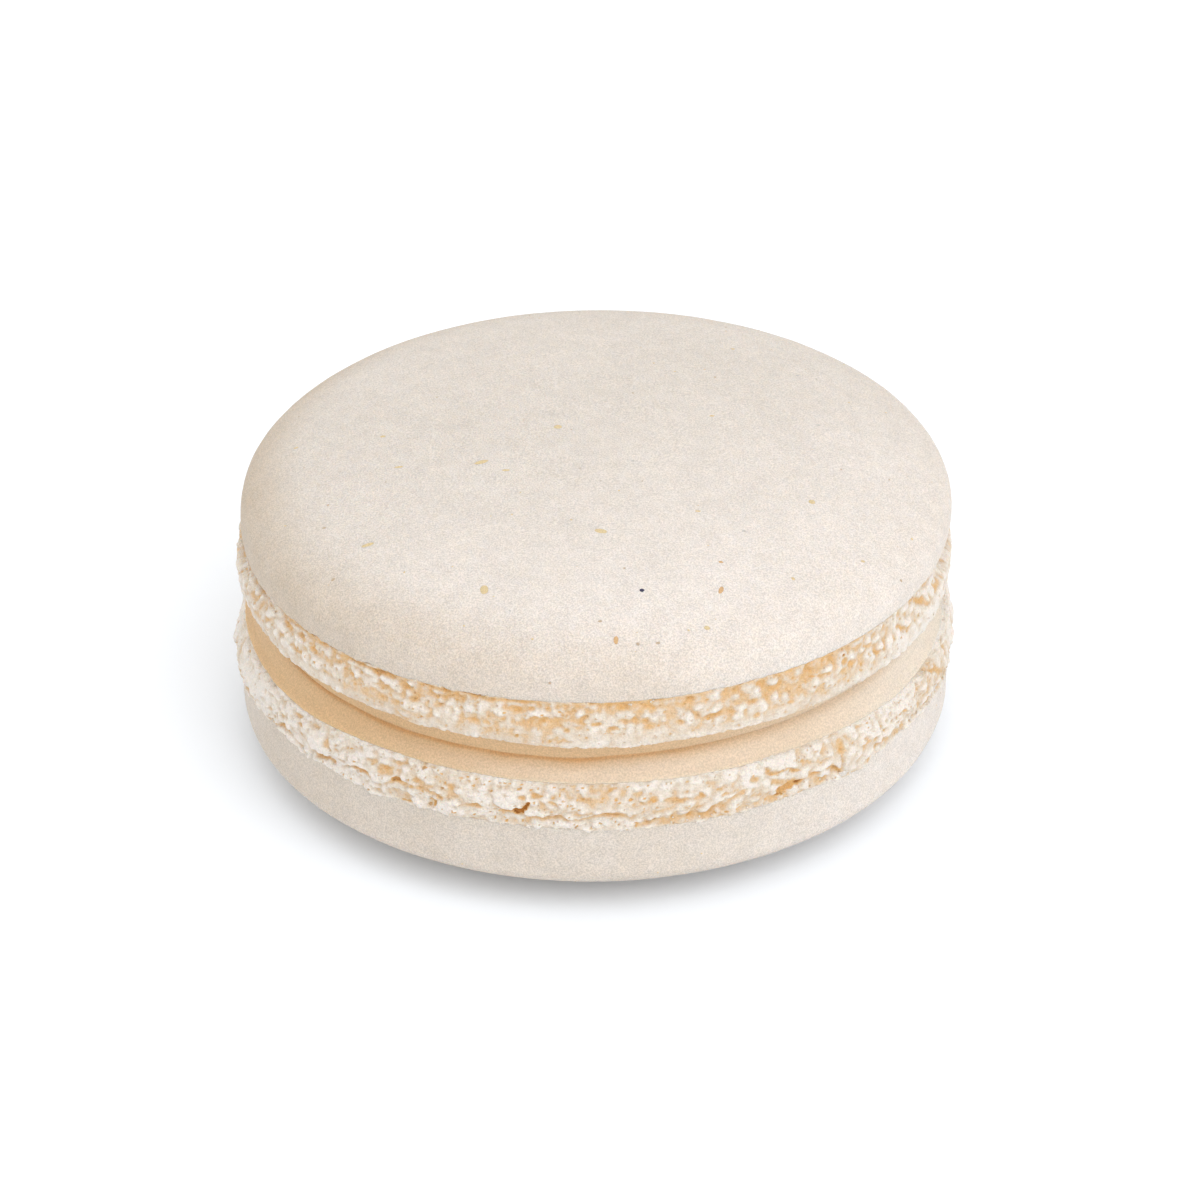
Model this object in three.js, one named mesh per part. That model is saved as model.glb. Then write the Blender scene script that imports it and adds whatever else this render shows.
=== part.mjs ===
// A vanilla French macaron: two baked almond-meringue shells with a caramel-coloured filling between them.
// Millimetres, +Z up. The origin is on the table, under the middle of the macaron, and -Y is its front.
// Each shell is one baked piece: a smooth crust, and below its seam a craggy foot that ends in a flat base.

import * as THREE from "three";

// ---- Driving dimensions --------------------------------------------------------------------------------

// Heights in a shell are measured from its flat base towards its crust.
const upperShell = {
  name: "upper_shell",
  baseLevel: 12.29,
  turned: false,
  seed: 11,
  foot: { height: 2.68, baseRadius: 22.4, seamRadius: 22.1, bulge: 0.05 },
  lipRadius: 22.05,
  shoulder: { height: 3.11, radius: 22.12 },
  dome: { rise: 4.79, sideExponent: 2.42, topExponent: 3.2, restRadius: 0 },
  caves: [],
};

// The lower shell lies upside down, on a flat spot that its own dome ends in. Its caves are where the foot
// is torn open: the angle from the front towards +X, the height above the base, and the size.
const lowerShell = {
  name: "lower_shell",
  baseLevel: 9.46,
  turned: true,
  seed: 29,
  foot: { height: 2.86, baseRadius: 22.1, seamRadius: 22.5, bulge: 0.12 },
  lipRadius: 22.44,
  shoulder: { height: 6.37, radius: 22.37 },
  dome: { rise: 3.23, sideExponent: 2.6, topExponent: 2.2, restRadius: 9 },
  caves: [
    { angle: -33, height: 2.1, width: 1.0, tall: 0.45, depth: 0.7 },
    { angle: -12, height: 2.2, width: 0.9, tall: 0.6, depth: 1.1 },
    { angle: 33, height: 2.2, width: 1.5, tall: 0.55, depth: 1.2 },
    { angle: 104, height: 1.9, width: 1.2, tall: 0.5, depth: 0.9 },
    { angle: 171, height: 2.2, width: 1.4, tall: 0.5, depth: 1.0 },
    { angle: 238, height: 2.0, width: 0.9, tall: 0.5, depth: 0.8 },
  ],
};

// The filling spreads over the lower shell to its rim, and is drawn in to a crease under the upper shell.
const filling = {
  name: "filling",
  rimRadius: 21.9,
  creaseRadius: 20.9,
  creaseRise: 0.91, // above the lower shell's base
  topRadius: 21.25,
  contactGap: 0.02,
  waver: { size: 5, depth: 0.24 },
  seed: 47,
};

// The relief of both feet: lumps of torn foam with crumbs on them, and a ragged crevice under the crust.
// Shares are of the foot's height, from its base.
const relief = {
  lump: { size: 1.7, depth: 0.5 },
  crumb: { size: 0.75, depth: 0.26 },
  sunk: 0.35, // the share of a lump that lies inside the foot's outline
  atBase: 0.15, // the share of the relief that is left at the base
  calmBase: 0.3,
  crevice: { size: 1.3, depth: 0.45, roughness: 0.5, start: 0.8 },
  lip: { size: 0.9, depth: 0.14, rise: 0.15 }, // the crust's broken edge, just above the crevice
};

// How finely the surfaces are divided: the vertices in each ring, and how far out each ring lies on a dome,
// from 0 at the middle to 1 at the shoulder.
const footRounds = 216;
const footRows = 9;
const baseRounds = 72;
const fillingRounds = 96;
const domeRings = [
  { rounds: 36, out: 0.16 },
  { rounds: 72, out: 0.32 },
  { rounds: 72, out: 0.48 },
  { rounds: 108, out: 0.62 },
  { rounds: 108, out: 0.74 },
  { rounds: 108, out: 0.84 },
  { rounds: 108, out: 0.93 },
  { rounds: 108, out: 1 },
];
const baseInset = 1.2; // from the foot's edge to the first ring on its flat base

const colours = { crust: 0xe8dece, filling: 0xe4c79b };

// ---- Noise ---------------------------------------------------------------------------------------------

const { lerp, smoothstep, euclideanModulo, degToRad } = THREE.MathUtils;

// A repeatable random number from 0 to 1 for a point of a whole-number grid.
function hash(x, y, z) {
  let h = (Math.imul(x, 374761393) + Math.imul(y, 668265263) + Math.imul(z, 1440662683)) | 0;
  h = Math.imul(h ^ (h >>> 13), 1274126177);
  return ((h ^ (h >>> 16)) >>> 0) / 2 ** 32;
}

// Soft noise from 0 to 1, whose features are about `size` across.
function softNoise(point, size, seed) {
  const [x, y, z] = point.map((value) => value / size);
  const [i, j, k] = [x, y, z].map(Math.floor);
  const [u, v, w] = [x - i, y - j, z - k].map((t) => smoothstep(t, 0, 1));
  const corner = (a, b, c) => hash(i + a, j + b, k + c + seed * 101);
  const edge = (b, c) => lerp(corner(0, b, c), corner(1, b, c), u);
  return lerp(lerp(edge(0, 0), edge(1, 0), v), lerp(edge(0, 1), edge(1, 1), v), w);
}

// Rounded lumps packed side by side: 1 at the middle of a lump, and about 0 in the gaps between them.
function lumps(point, size, seed) {
  const [x, y, z] = point.map((value) => value / size);
  const [i, j, k] = [x, y, z].map(Math.floor);
  const steps = [-1, 0, 1];
  let nearest = Infinity;
  for (const a of steps) {
    for (const b of steps) {
      for (const c of steps) {
        const [p, q, r] = [i + a, j + b, k + c];
        const [dx, dy, dz] = [p - x, q - y, r - z];
        const jitter = [0, 1, 2].map((axis) => hash(p + seed * 17, q + axis * 53, r));
        nearest = Math.min(nearest, Math.hypot(dx + jitter[0], dy + jitter[1], dz + jitter[2]));
      }
    }
  }
  const gapDistance = 0.8;
  return 1 - nearest / gapDistance;
}

// ---- Rings of vertices ---------------------------------------------------------------------------------

// The angle runs from the front (-Y) towards +X.
function onRing(angle, radius, height) {
  return [radius * Math.sin(angle), -radius * Math.cos(angle), height];
}

// A plain ring, as ringSolid takes it.
function roundRing(count, radius, height) {
  return { count, place: (angle) => onRing(angle, radius, height) };
}

// A closed solid made of rings from one pole to the other. Each ring has a count and place(angle), which is
// a vertex, and neighbouring rings may differ in count. The rings go down from the upper pole.
function ringSolid(upperPole, rings, lowerPole) {
  const positions = [...upperPole];
  const starts = rings.map(({ count, place }) => {
    const start = positions.length / 3;
    for (let i = 0; i < count; i++) positions.push(...place((2 * Math.PI * i) / count));
    return start;
  });
  const lastVertex = positions.length / 3;
  positions.push(...lowerPole);

  const faces = [];
  const first = rings[0].count;
  for (let i = 0; i < first; i++) faces.push(0, starts[0] + i, starts[0] + ((i + 1) % first));
  for (let r = 1; r < rings.length; r++) {
    faces.push(...stitch(starts[r - 1], rings[r - 1].count, starts[r], rings[r].count));
  }
  const last = rings.at(-1).count;
  const lastStart = starts.at(-1);
  for (let i = 0; i < last; i++) faces.push(lastVertex, lastStart + ((i + 1) % last), lastStart + i);

  const geometry = new THREE.BufferGeometry();
  geometry.setAttribute("position", new THREE.Float32BufferAttribute(positions, 3));
  geometry.setIndex(faces);
  geometry.computeVertexNormals();
  return geometry;
}

// The band of triangles between two rings: whichever ring is behind takes the next step.
function stitch(upperStart, upperCount, lowerStart, lowerCount) {
  const faces = [];
  let i = 0;
  let j = 0;
  while (i < upperCount || j < lowerCount) {
    const upper = upperStart + (i % upperCount);
    const lower = lowerStart + (j % lowerCount);
    if ((i + 1) / upperCount <= (j + 1) / lowerCount) {
      i++;
      faces.push(upper, lower, upperStart + (i % upperCount));
    } else {
      j++;
      faces.push(upper, lower, lowerStart + (j % lowerCount));
    }
  }
  return faces;
}

// ---- The shells ----------------------------------------------------------------------------------------

// The dome's outline is a superellipse: `out` is 0 at its middle and 1 at the shoulder.
function domePoint({ shoulder, dome }, out) {
  const turn = (Math.PI / 2) * (1 - out);
  const radius = shoulder.radius * Math.cos(turn) ** (2 / dome.sideExponent);
  const rise = dome.rise * Math.sin(turn) ** (2 / dome.topExponent);
  return { radius, height: shoulder.height + rise };
}

// How far out along the dome's outline its flat spot ends.
function restEdge({ shoulder, dome }) {
  const turn = Math.acos((dome.restRadius / shoulder.radius) ** (dome.sideExponent / 2));
  return 1 - turn / (Math.PI / 2);
}

// How far the shell's caves take the foot's surface inwards.
function caveDepth({ caves, turned }, angle, radius, height) {
  const seenAngle = turned ? -angle : angle;
  const depths = caves.map((cave) => {
    const turn = euclideanModulo(seenAngle - degToRad(cave.angle) + Math.PI, 2 * Math.PI) - Math.PI;
    const distance = Math.hypot((turn * radius) / cave.width, (height - cave.height) / cave.tall);
    return cave.depth * (1 - smoothstep(distance, 0.5, 1));
  });
  return Math.max(0, ...depths);
}

// A vertex of the craggy foot. `share` is 0 at the base and 1 at the seam.
function footPoint(shell, angle, share) {
  const { foot, seed } = shell;
  const { lump, crumb, crevice, sunk, atBase, calmBase } = relief;
  const level = share * foot.height;
  const bulge = foot.bulge * Math.sin(Math.PI * share) ** 2;
  const outline = lerp(foot.baseRadius, foot.seamRadius, share) + bulge;
  const at = onRing(angle, outline, level);
  const lumped = lump.depth * (lumps(at, lump.size, seed) - sunk);
  const crumbed = crumb.depth * (lumps(at, crumb.size, seed + 1) - sunk);
  const crags = (lumped + crumbed) * lerp(atBase, 1, smoothstep(share, 0, calmBase));
  const ragged = crevice.depth + crevice.roughness * (softNoise(at, crevice.size, seed + 2) - 0.5);
  const torn = ragged * smoothstep(share, crevice.start, 1) + caveDepth(shell, angle, outline, level);
  return onRing(angle, outline + crags - torn, level);
}

// A vertex of the crust's lower edge, which is broken a little unevenly.
function lipPoint({ foot, lipRadius, seed }, angle) {
  const level = foot.height + relief.lip.rise;
  const ragged = softNoise(onRing(angle, lipRadius, level), relief.lip.size, seed + 3) - 0.5;
  const uneven = relief.lip.depth * ragged;
  return onRing(angle, lipRadius + uneven, level + uneven);
}

function shellGeometry(shell) {
  const inner = shell.dome.restRadius > 0 ? restEdge(shell) : 0;
  const middle = domePoint(shell, inner);
  const rings = domeRings.map(({ rounds, out }) => {
    const { radius, height } = domePoint(shell, lerp(inner, 1, out));
    return roundRing(rounds, radius, height);
  });
  if (inner > 0) rings.unshift(roundRing(domeRings[0].rounds, middle.radius, middle.height));
  rings.push({ count: footRounds, place: (angle) => lipPoint(shell, angle) });
  for (let row = footRows; row >= 0; row--) {
    rings.push({ count: footRounds, place: (angle) => footPoint(shell, angle, row / footRows) });
  }
  rings.push(roundRing(baseRounds, shell.foot.baseRadius - baseInset, 0));
  return ringSolid([0, 0, middle.height], rings, [0, 0, 0]);
}

function makeShell(shell) {
  const finish = { color: colours.crust, roughness: 0.8, metalness: 0 };
  const mesh = new THREE.Mesh(shellGeometry(shell), new THREE.MeshStandardMaterial(finish));
  mesh.name = shell.name;
  mesh.position.z = shell.baseLevel;
  if (shell.turned) mesh.rotation.y = Math.PI;
  return mesh;
}

// ---- The filling ---------------------------------------------------------------------------------------

function makeFilling() {
  const { rimRadius, creaseRadius, creaseRise, topRadius, contactGap, waver, seed } = filling;
  const bottom = lowerShell.baseLevel + contactGap;
  const top = upperShell.baseLevel - contactGap;
  const crease = lowerShell.baseLevel + creaseRise;
  const waveringRing = (radius, height) => ({
    count: fillingRounds,
    place: (angle) => {
      const uneven = softNoise(onRing(angle, radius, height), waver.size, seed) - 0.5;
      return onRing(angle, radius + waver.depth * uneven, height);
    },
  });
  const ledge = (across, down) =>
    waveringRing(lerp(creaseRadius, rimRadius, across), lerp(crease, bottom, down));
  const rings = [
    waveringRing(topRadius, top),
    waveringRing(lerp(topRadius, creaseRadius, 0.6), lerp(top, crease, 0.5)),
    ledge(0, 0),
    ledge(0.35, 0.25),
    ledge(0.8, 0.65),
    ledge(1, 1),
  ];
  const finish = { color: colours.filling, roughness: 0.55, metalness: 0 };
  const geometry = ringSolid([0, 0, top], rings, [0, 0, bottom]);
  const mesh = new THREE.Mesh(geometry, new THREE.MeshStandardMaterial(finish));
  mesh.name = filling.name;
  return mesh;
}

// ---- The macaron ---------------------------------------------------------------------------------------

const macaron = new THREE.Group();
macaron.add(makeShell(upperShell), makeFilling(), makeShell(lowerShell));

// The crags are uneven, so the group is moved to stand on the table with its middle over the origin.
const box = new THREE.Box3().setFromObject(macaron, true);
const middle = box.getCenter(new THREE.Vector3());
macaron.position.set(-middle.x, -middle.y, -box.min.z);

export default macaron;
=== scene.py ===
"""A vanilla French macaron: two almond-meringue shells, each a smooth crust over a torn, foamy foot, with a
caramel-coloured filling between them. The front faces -Y. Lengths are metres, and the sizes below are
written in millimetres, times MM."""

import itertools
import math

import bpy
import numpy as np
from mathutils import Matrix, Vector


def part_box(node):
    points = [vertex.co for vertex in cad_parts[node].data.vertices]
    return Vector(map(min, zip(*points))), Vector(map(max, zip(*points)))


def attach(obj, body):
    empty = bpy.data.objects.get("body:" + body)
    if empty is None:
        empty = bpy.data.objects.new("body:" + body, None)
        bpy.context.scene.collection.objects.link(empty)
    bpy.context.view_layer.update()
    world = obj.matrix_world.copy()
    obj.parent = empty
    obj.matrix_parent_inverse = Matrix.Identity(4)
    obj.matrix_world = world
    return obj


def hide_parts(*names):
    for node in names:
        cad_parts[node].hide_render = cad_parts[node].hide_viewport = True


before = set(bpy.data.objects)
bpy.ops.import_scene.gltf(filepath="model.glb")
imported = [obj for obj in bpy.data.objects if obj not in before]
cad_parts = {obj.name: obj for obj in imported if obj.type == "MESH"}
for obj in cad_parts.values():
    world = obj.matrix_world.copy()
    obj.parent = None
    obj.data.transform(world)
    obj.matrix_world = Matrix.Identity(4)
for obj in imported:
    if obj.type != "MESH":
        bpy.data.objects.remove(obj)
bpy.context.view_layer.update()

bl_info = {
    "name": "French Macaron",
    "version": (1, 0, 0),
    "blender": (4, 5, 0),
    "location": "View3D > Sidebar > Macaron",
    "description": "Builds a vanilla macaron with foamy feet and a soft filling, on a white table",
    "category": "Add Mesh",
}

MM = 0.001
UPPER_LOW, UPPER_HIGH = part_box("upper_shell")
FILLING_LOW, FILLING_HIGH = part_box("filling")
LOWER_LOW, LOWER_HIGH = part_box("lower_shell")


# ---- Settings ------------------------------------------------------------------------------------------


def length(name, description, default):
    """A length property, whose default is in metres."""
    return bpy.props.FloatProperty(
        name=name, description=description, default=default, min=0, precision=5,
        subtype="DISTANCE", unit="LENGTH",
    )


def angle(name, description, degrees):
    """An angle property, whose default is in degrees."""
    return bpy.props.FloatProperty(
        name=name, description=description, default=math.radians(degrees), subtype="ANGLE"
    )


def factor(name, description, default, top=1.0):
    """A plain number from 0 to top."""
    return bpy.props.FloatProperty(name=name, description=description, default=default, min=0, max=top)


def count(name, description, default):
    """A whole number."""
    return bpy.props.IntProperty(name=name, description=description, default=default, min=3)


def colour(name, description, default):
    """A colour, given as its red, green and blue from 0 to 255 on screen."""
    linear = [channel_to_linear(channel / 255) for channel in default]
    return bpy.props.FloatVectorProperty(
        name=name, description=description, default=linear, min=0, max=1, size=3, subtype="COLOR"
    )


def channel_to_linear(value):
    """The linear light of one screen channel from 0 to 1."""
    return value / 12.92 if value <= 0.04045 else ((value + 0.055) / 1.055) ** 2.4


# Heights within a shell are measured from its flat base towards its crust.
class UpperShellSettings(bpy.types.PropertyGroup):
    """Sizes of the upper shell, which lies crust up on the filling"""

    base_level: length("Base level", "Height of the flat base over the table", UPPER_LOW.z)
    crust_height: length("Crust height", "From the base to the crust's top", UPPER_HIGH.z - UPPER_LOW.z)
    shoulder_height: length("Shoulder height", "Where the crust is widest", 3.11 * MM)
    shoulder_radius: length("Shoulder radius", "Radius of the crust", 22.12 * MM)
    lip_height: length("Lip height", "Lower edge of the crust", 2.78 * MM)
    lip_radius: length("Lip radius", "Radius of the crust at its lower edge", 22.1 * MM)
    side_exponent: factor("Side exponent", "How square the crust's side is", 2.36, 8)
    top_exponent: factor("Top exponent", "How flat the crust's top is", 3.2, 8)
    rest_radius: length("Rest radius", "Flat spot that the crust rests on", 0.0)
    shift: length("Shift", "How far to the right the crust sits on its foot", 0.17 * MM)
    lean: factor("Lean", "Slope of the crust's edge, which is higher at the right", 0.0136)


class LowerShellSettings(bpy.types.PropertyGroup):
    """Sizes of the lower shell, which lies crust down on the table"""

    base_level: length("Base level", "Height of the flat base over the table", LOWER_HIGH.z)
    crust_height: length("Crust height", "From the base to the flat spot", LOWER_HIGH.z - LOWER_LOW.z)
    shoulder_height: length("Shoulder height", "Where the crust is widest", 6.37 * MM)
    shoulder_radius: length("Shoulder radius", "Radius of the crust", 22.37 * MM)
    lip_height: length("Lip height", "Edge of the crust by the foot", 2.99 * MM)
    lip_radius: length("Lip radius", "Radius of the crust at that edge", 22.36 * MM)
    side_exponent: factor("Side exponent", "How square the crust's side is", 2.6, 8)
    top_exponent: factor("Top exponent", "How flat the crust's underside is", 2.2, 8)
    rest_radius: length("Rest radius", "Flat spot that the crust rests on", 9.0 * MM)
    shift: length("Shift", "How far to the right the crust sits on its foot", 0.0)
    lean: factor("Lean", "Slope of the crust's edge, which is higher at the right", 0.0)


class CrustSettings(bpy.types.PropertyGroup):
    """What both crusts share"""

    rounds: count("Rounds", "Vertices round the crust", 780)
    swell: length("Swell", "Depth of the broad unevenness", 0.06 * MM)
    swell_size: length("Swell size", "Width of the broad unevenness", 9.0 * MM)
    grain: length("Grain", "Depth of the fine unevenness", 0.012 * MM)
    grain_size: length("Grain size", "Width of the fine unevenness", 0.9 * MM)
    ragged: length("Ragged edge", "How unevenly the edge by the foot is broken", 0.12 * MM)
    ragged_size: length("Ragged size", "Width of the breaks in that edge", 0.6 * MM)


class FootSettings(bpy.types.PropertyGroup):
    """What both feet share"""

    rounds: count("Rounds", "Vertices round the foot", 1500)
    row_step: length("Row step", "Between vertices across the foot's visible side", 0.06 * MM)
    lump_rise: length("Lump rise", "How far the largest lumps stand out", 0.34 * MM)
    pore_depth: factor("Pore depth", "Depth of a pore, as a share of its radius", 1.2, 2)
    crumbs: factor("Crumbs", "On each square millimetre of the crumbliest foam", 6.0, 100)
    crumb_size: length("Crumb size", "Half the length of the largest crumb", 0.1 * MM)
    teeth: length("Teeth", "How unevenly the foot's free edge is broken", 0.15 * MM)


class FillingSettings(bpy.types.PropertyGroup):
    """Sizes of the filling between the shells"""

    bottom_level: length("Bottom level", "Height of the underside over the table", FILLING_LOW.z)
    top_level: length("Top level", "Height of the upper side over the table", FILLING_HIGH.z)
    rim_radius: length("Rim radius", "Radius where it thins out on the lower shell", 22.02 * MM)
    crease_radius: length("Crease radius", "Radius of the crease that it is drawn in to", 20.9 * MM)
    crease_rise: length("Crease rise", "Height of the crease over the lower shell's base", 0.96 * MM)
    rise: length("Rise", "How much higher the crease is at the right", 0.33 * MM)
    sag: length("Sag", "How far the rim sinks at both sides", 0.5 * MM)
    top_radius: length("Top radius", "Radius under the upper shell", 21.3 * MM)
    rounds: count("Rounds", "Vertices round the filling", 720)


class ColourSettings(bpy.types.PropertyGroup):
    """Colours of the baked shells and the filling"""

    crust: colour("Crust", "Baked almond crust", (202, 193, 183))
    # Painted light: the lit side of each crust is paler.
    crust_painted_light: colour("Crust bloom", "The paler side of the crust", (215, 206, 198))
    # Partly real browning at the edge, and partly painted shade, as it is strongest at the shaded left.
    crust_tan: colour("Crust tan", "Browning near the crust's edge", (184, 167, 146))
    crust_pore: colour("Crust pore", "Pinholes in the crust", (177, 144, 107))
    # From the lumps' tops to the caves: the deeper colours are partly the tan of torn foam, partly painted
    # shade.
    foam_pale: colour("Foam pale", "The tops of the foam's lumps", (227, 218, 208))
    foam: colour("Foam", "The foam just below them", (219, 207, 192))
    foam_cream: colour("Foam cream", "The foam between the lumps", (212, 195, 175))
    foam_tan: colour("Foam tan", "The foam's hollows", (213, 182, 145))
    foam_deep: colour("Foam deep", "The foam's crevices", (214, 169, 112))
    # Painted shade on the caves' floors.
    foam_cave_shade: colour("Foam dark", "The bottoms of its caves", (164, 104, 44))
    foam_pore: colour("Foam pore", "The foam's small pores", (196, 144, 90))
    speck_golden: colour("Golden speck", "Grains of almond skin", (210, 184, 142))
    speck_orange: colour("Orange speck", "Darker grains of almond skin", (202, 160, 117))
    speck_brown: colour("Brown speck", "Small pits in the crust", (184, 162, 138))
    speck_grey: colour("Grey speck", "Grains of vanilla", (186, 180, 172))
    speck_dark: colour("Dark speck", "The darkest grain of vanilla", (62, 59, 78))
    filling: colour("Filling", "Caramel cream", (209, 188, 164))
    # Painted light: the lit right side of the filling is paler.
    filling_painted_light: colour("Filling pale", "The cream at the right", (213, 199, 182))
    # Painted shade: the wall under the upper shell, and the shaded left.
    filling_painted_shade: colour("Filling wall", "The cream by its crease", (203, 170, 129))
    # Painted shade in the crease.
    filling_crease_shade: colour("Filling deep", "The crease in the filling", (198, 146, 88))


class StageSettings(bpy.types.PropertyGroup):
    """The table, the light and the camera"""

    floor_width: length("Floor width", "Width of the white table", 900 * MM)
    sky_light: factor("Sky light", "Strength of the light from all round", 1.1, 4)
    key_power: factor("Key light", "Power of the soft lamp at the front right, in watts", 0.54, 100)
    elevation: angle("Elevation", "Camera's angle over the table", 32.37)
    roll: angle("Roll", "Camera's turn about its own view", -0.607)
    distance: length("Distance", "From the camera to the macaron", 272.4 * MM)


# ---- Helpers: objects, noise and nodes -----------------------------------------------------------------


def add_object(name, mesh):
    """Links a new object that holds the mesh, at the origin."""
    made = bpy.data.objects.new(name, mesh)
    bpy.context.collection.objects.link(made)
    return made


def remove_object(name):
    """Deletes an earlier object of that name, so that an operator can be run again."""
    old = bpy.data.objects.get(name)
    if old:
        bpy.data.objects.remove(old)


def mesh_from_arrays(name, positions, faces):
    """A mesh from an array of positions and an array of four-cornered or three-cornered faces."""
    mesh = bpy.data.meshes.new(name)
    mesh.from_pydata(positions.tolist(), [], faces.tolist())
    mesh.shade_smooth()
    return mesh


def add_attribute(mesh, name, kind, values):
    """Stores one value for each vertex: numbers, three-part vectors or four-part colours."""
    key = {"FLOAT": "value", "FLOAT_VECTOR": "vector", "FLOAT_COLOR": "color"}[kind]
    attribute = mesh.attributes.new(name, kind, "POINT")
    attribute.data.foreach_set(key, np.asarray(values, np.float32).reshape(-1))


def hashed(cells, seed):
    """A repeatable random number from 0 to 1 for each whole-number cell of an (..., 3) array."""
    h = (cells * np.array([374761393, 668265263, 1440662683])).sum(axis=-1) + seed * 144269
    h = h.astype(np.uint64) & np.uint64(0xFFFFFFFF)
    for shift, multiplier in ((13, 1274126177), (16, 2246822519)):
        h = ((h ^ (h >> np.uint64(shift))) * np.uint64(multiplier)) & np.uint64(0xFFFFFFFF)
    return (h ^ (h >> np.uint64(15))).astype(float) / 2**32


def soft_noise(points, size, seed):
    """Soft noise from -1 to 1 at each point, whose features are about size across."""
    scaled = points / size
    cells = np.floor(scaled).astype(np.int64)
    part = scaled - cells
    ease = part * part * (3 - 2 * part)
    total = np.zeros(points.shape[:-1])
    for corner in itertools.product((0, 1), repeat=3):
        step = np.array(corner)
        weight = np.prod(np.where(step == 1, ease, 1 - ease), axis=-1)
        total += weight * hashed(cells + step, seed)
    return 2 * total - 1


def layered_noise(points, size, seed, layers=3):
    """Soft noise with finer layers on top, each half as wide and half as strong."""
    return sum(soft_noise(points, size / 2**n, seed + n) / 2**n for n in range(layers)) / 1.6


def smooth_step(value, low, high):
    """0 below low, 1 above high, and a soft ramp between them."""
    part = np.clip((value - low) / (high - low), 0, 1)
    return part * part * (3 - 2 * part)


class Nodes:
    """A node tree that is written as nested calls: each add() gives the new node, wired to its inputs."""

    def __init__(self, tree):
        self.tree = tree

    def add(self, kind, inputs=None, **options):
        node = self.tree.nodes.new(kind)
        for key, value in options.items():
            setattr(node, key, value)
        for key, value in (inputs or {}).items():
            if isinstance(value, bpy.types.Node):
                value = value.outputs[0]
            if isinstance(value, bpy.types.NodeSocket):
                self.tree.links.new(value, node.inputs[key])
            else:
                node.inputs[key].default_value = value
        return node

    def math(self, operation, first, second=0.0, clamp=False):
        return self.add("ShaderNodeMath", {0: first, 1: second}, operation=operation, use_clamp=clamp)

    def vector(self, operation, first, second=(0, 0, 0)):
        return self.add("ShaderNodeVectorMath", {0: first, 1: second}, operation=operation)

    def scale(self, vector, amount):
        return self.add("ShaderNodeVectorMath", {0: vector, "Scale": amount}, operation="SCALE")

    def ramp(self, value, low, high, to_low=0.0, to_high=1.0):
        """A soft ramp from to_low to to_high while the value goes from low to high."""
        inputs = {"Value": value, "From Min": low, "From Max": high, "To Min": to_low, "To Max": to_high}
        return self.add("ShaderNodeMapRange", inputs, interpolation_type="SMOOTHSTEP")

    def split(self, vector):
        """The x, y and z of a vector."""
        return self.add("ShaderNodeSeparateXYZ", {0: vector}).outputs

    def spread(self, noise, to_low, to_high):
        """The middle of a noise's range, spread from to_low to to_high."""
        return self.ramp(noise.outputs[0], 0.3, 0.7, to_low, to_high)

    def noise(self, vector, size, detail=2.0, roughness=0.5):
        """Noise whose largest features are about size across. Its first output goes from 0 to 1."""
        inputs = {"Vector": vector, "Scale": 1 / size, "Detail": detail, "Roughness": roughness}
        return self.add("ShaderNodeTexNoise", inputs)

    def cells(self, vector, size, rarest, widest, soft):
        """Round spots, one in some of the cells of that size: their share of it rises to widest as the
        cell's own random number goes from rarest to 1, and their edge is soft."""
        spots = self.add("ShaderNodeTexVoronoi", {"Vector": vector, "Scale": 1 / size})
        chosen = self.add("ShaderNodeSeparateColor", {0: spots.outputs["Color"]})
        reach = self.ramp(chosen.outputs[0], rarest, 1.0, 0.0, widest)
        return self.ramp(self.math("SUBTRACT", reach, spots.outputs["Distance"]), 0.0, soft)

    def mix_colour(self, share, first, second, blend="MIX"):
        node = self.add("ShaderNodeMix", data_type="RGBA", blend_type=blend)
        factor_in, first_in, second_in = node.inputs[0], node.inputs[6], node.inputs[7]
        for value, socket in ((share, factor_in), (first, first_in), (second, second_in)):
            if isinstance(value, bpy.types.Node):
                value = value.outputs[0]
            if isinstance(value, bpy.types.NodeSocket):
                self.tree.links.new(value, socket)
            elif socket is factor_in:
                socket.default_value = value
            else:
                socket.default_value = (*value, 1)
        return node.outputs[2]

    def toned(self, base, tone):
        """The colour made lighter or darker by a number near 1."""
        return self.mix_colour(1.0, base, self.scale((1, 1, 1), tone), "MULTIPLY")


# ---- Materials -----------------------------------------------------------------------------------------


def baked_material(name, roughness, scatter, scatter_depth, specular=0.25):
    """A matt, slightly translucent material. Gives it with its Nodes, its shader and Object coordinates."""
    material = bpy.data.materials.new(name)
    material.use_nodes = True
    nodes = Nodes(material.node_tree)
    shader = material.node_tree.nodes["Principled BSDF"]
    shader.inputs["Roughness"].default_value = roughness
    shader.inputs["Specular IOR Level"].default_value = specular
    shader.inputs["Subsurface Weight"].default_value = scatter
    shader.inputs["Subsurface Radius"].default_value = (1.0, 0.62, 0.36)
    shader.inputs["Subsurface Scale"].default_value = scatter_depth
    where = nodes.add("ShaderNodeTexCoord").outputs["Object"]
    return material, nodes, shader, where


def finish_material(nodes, shader, base_colour, height, bump_distance, bump_strength):
    """Wires the colour and the bump into the shader."""
    links = nodes.tree.links
    links.new(base_colour, shader.inputs["Base Color"])
    inputs = {"Strength": bump_strength, "Distance": bump_distance, "Height": height}
    bump = nodes.add("ShaderNodeBump", inputs)
    links.new(bump.outputs["Normal"], shader.inputs["Normal"])


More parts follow.
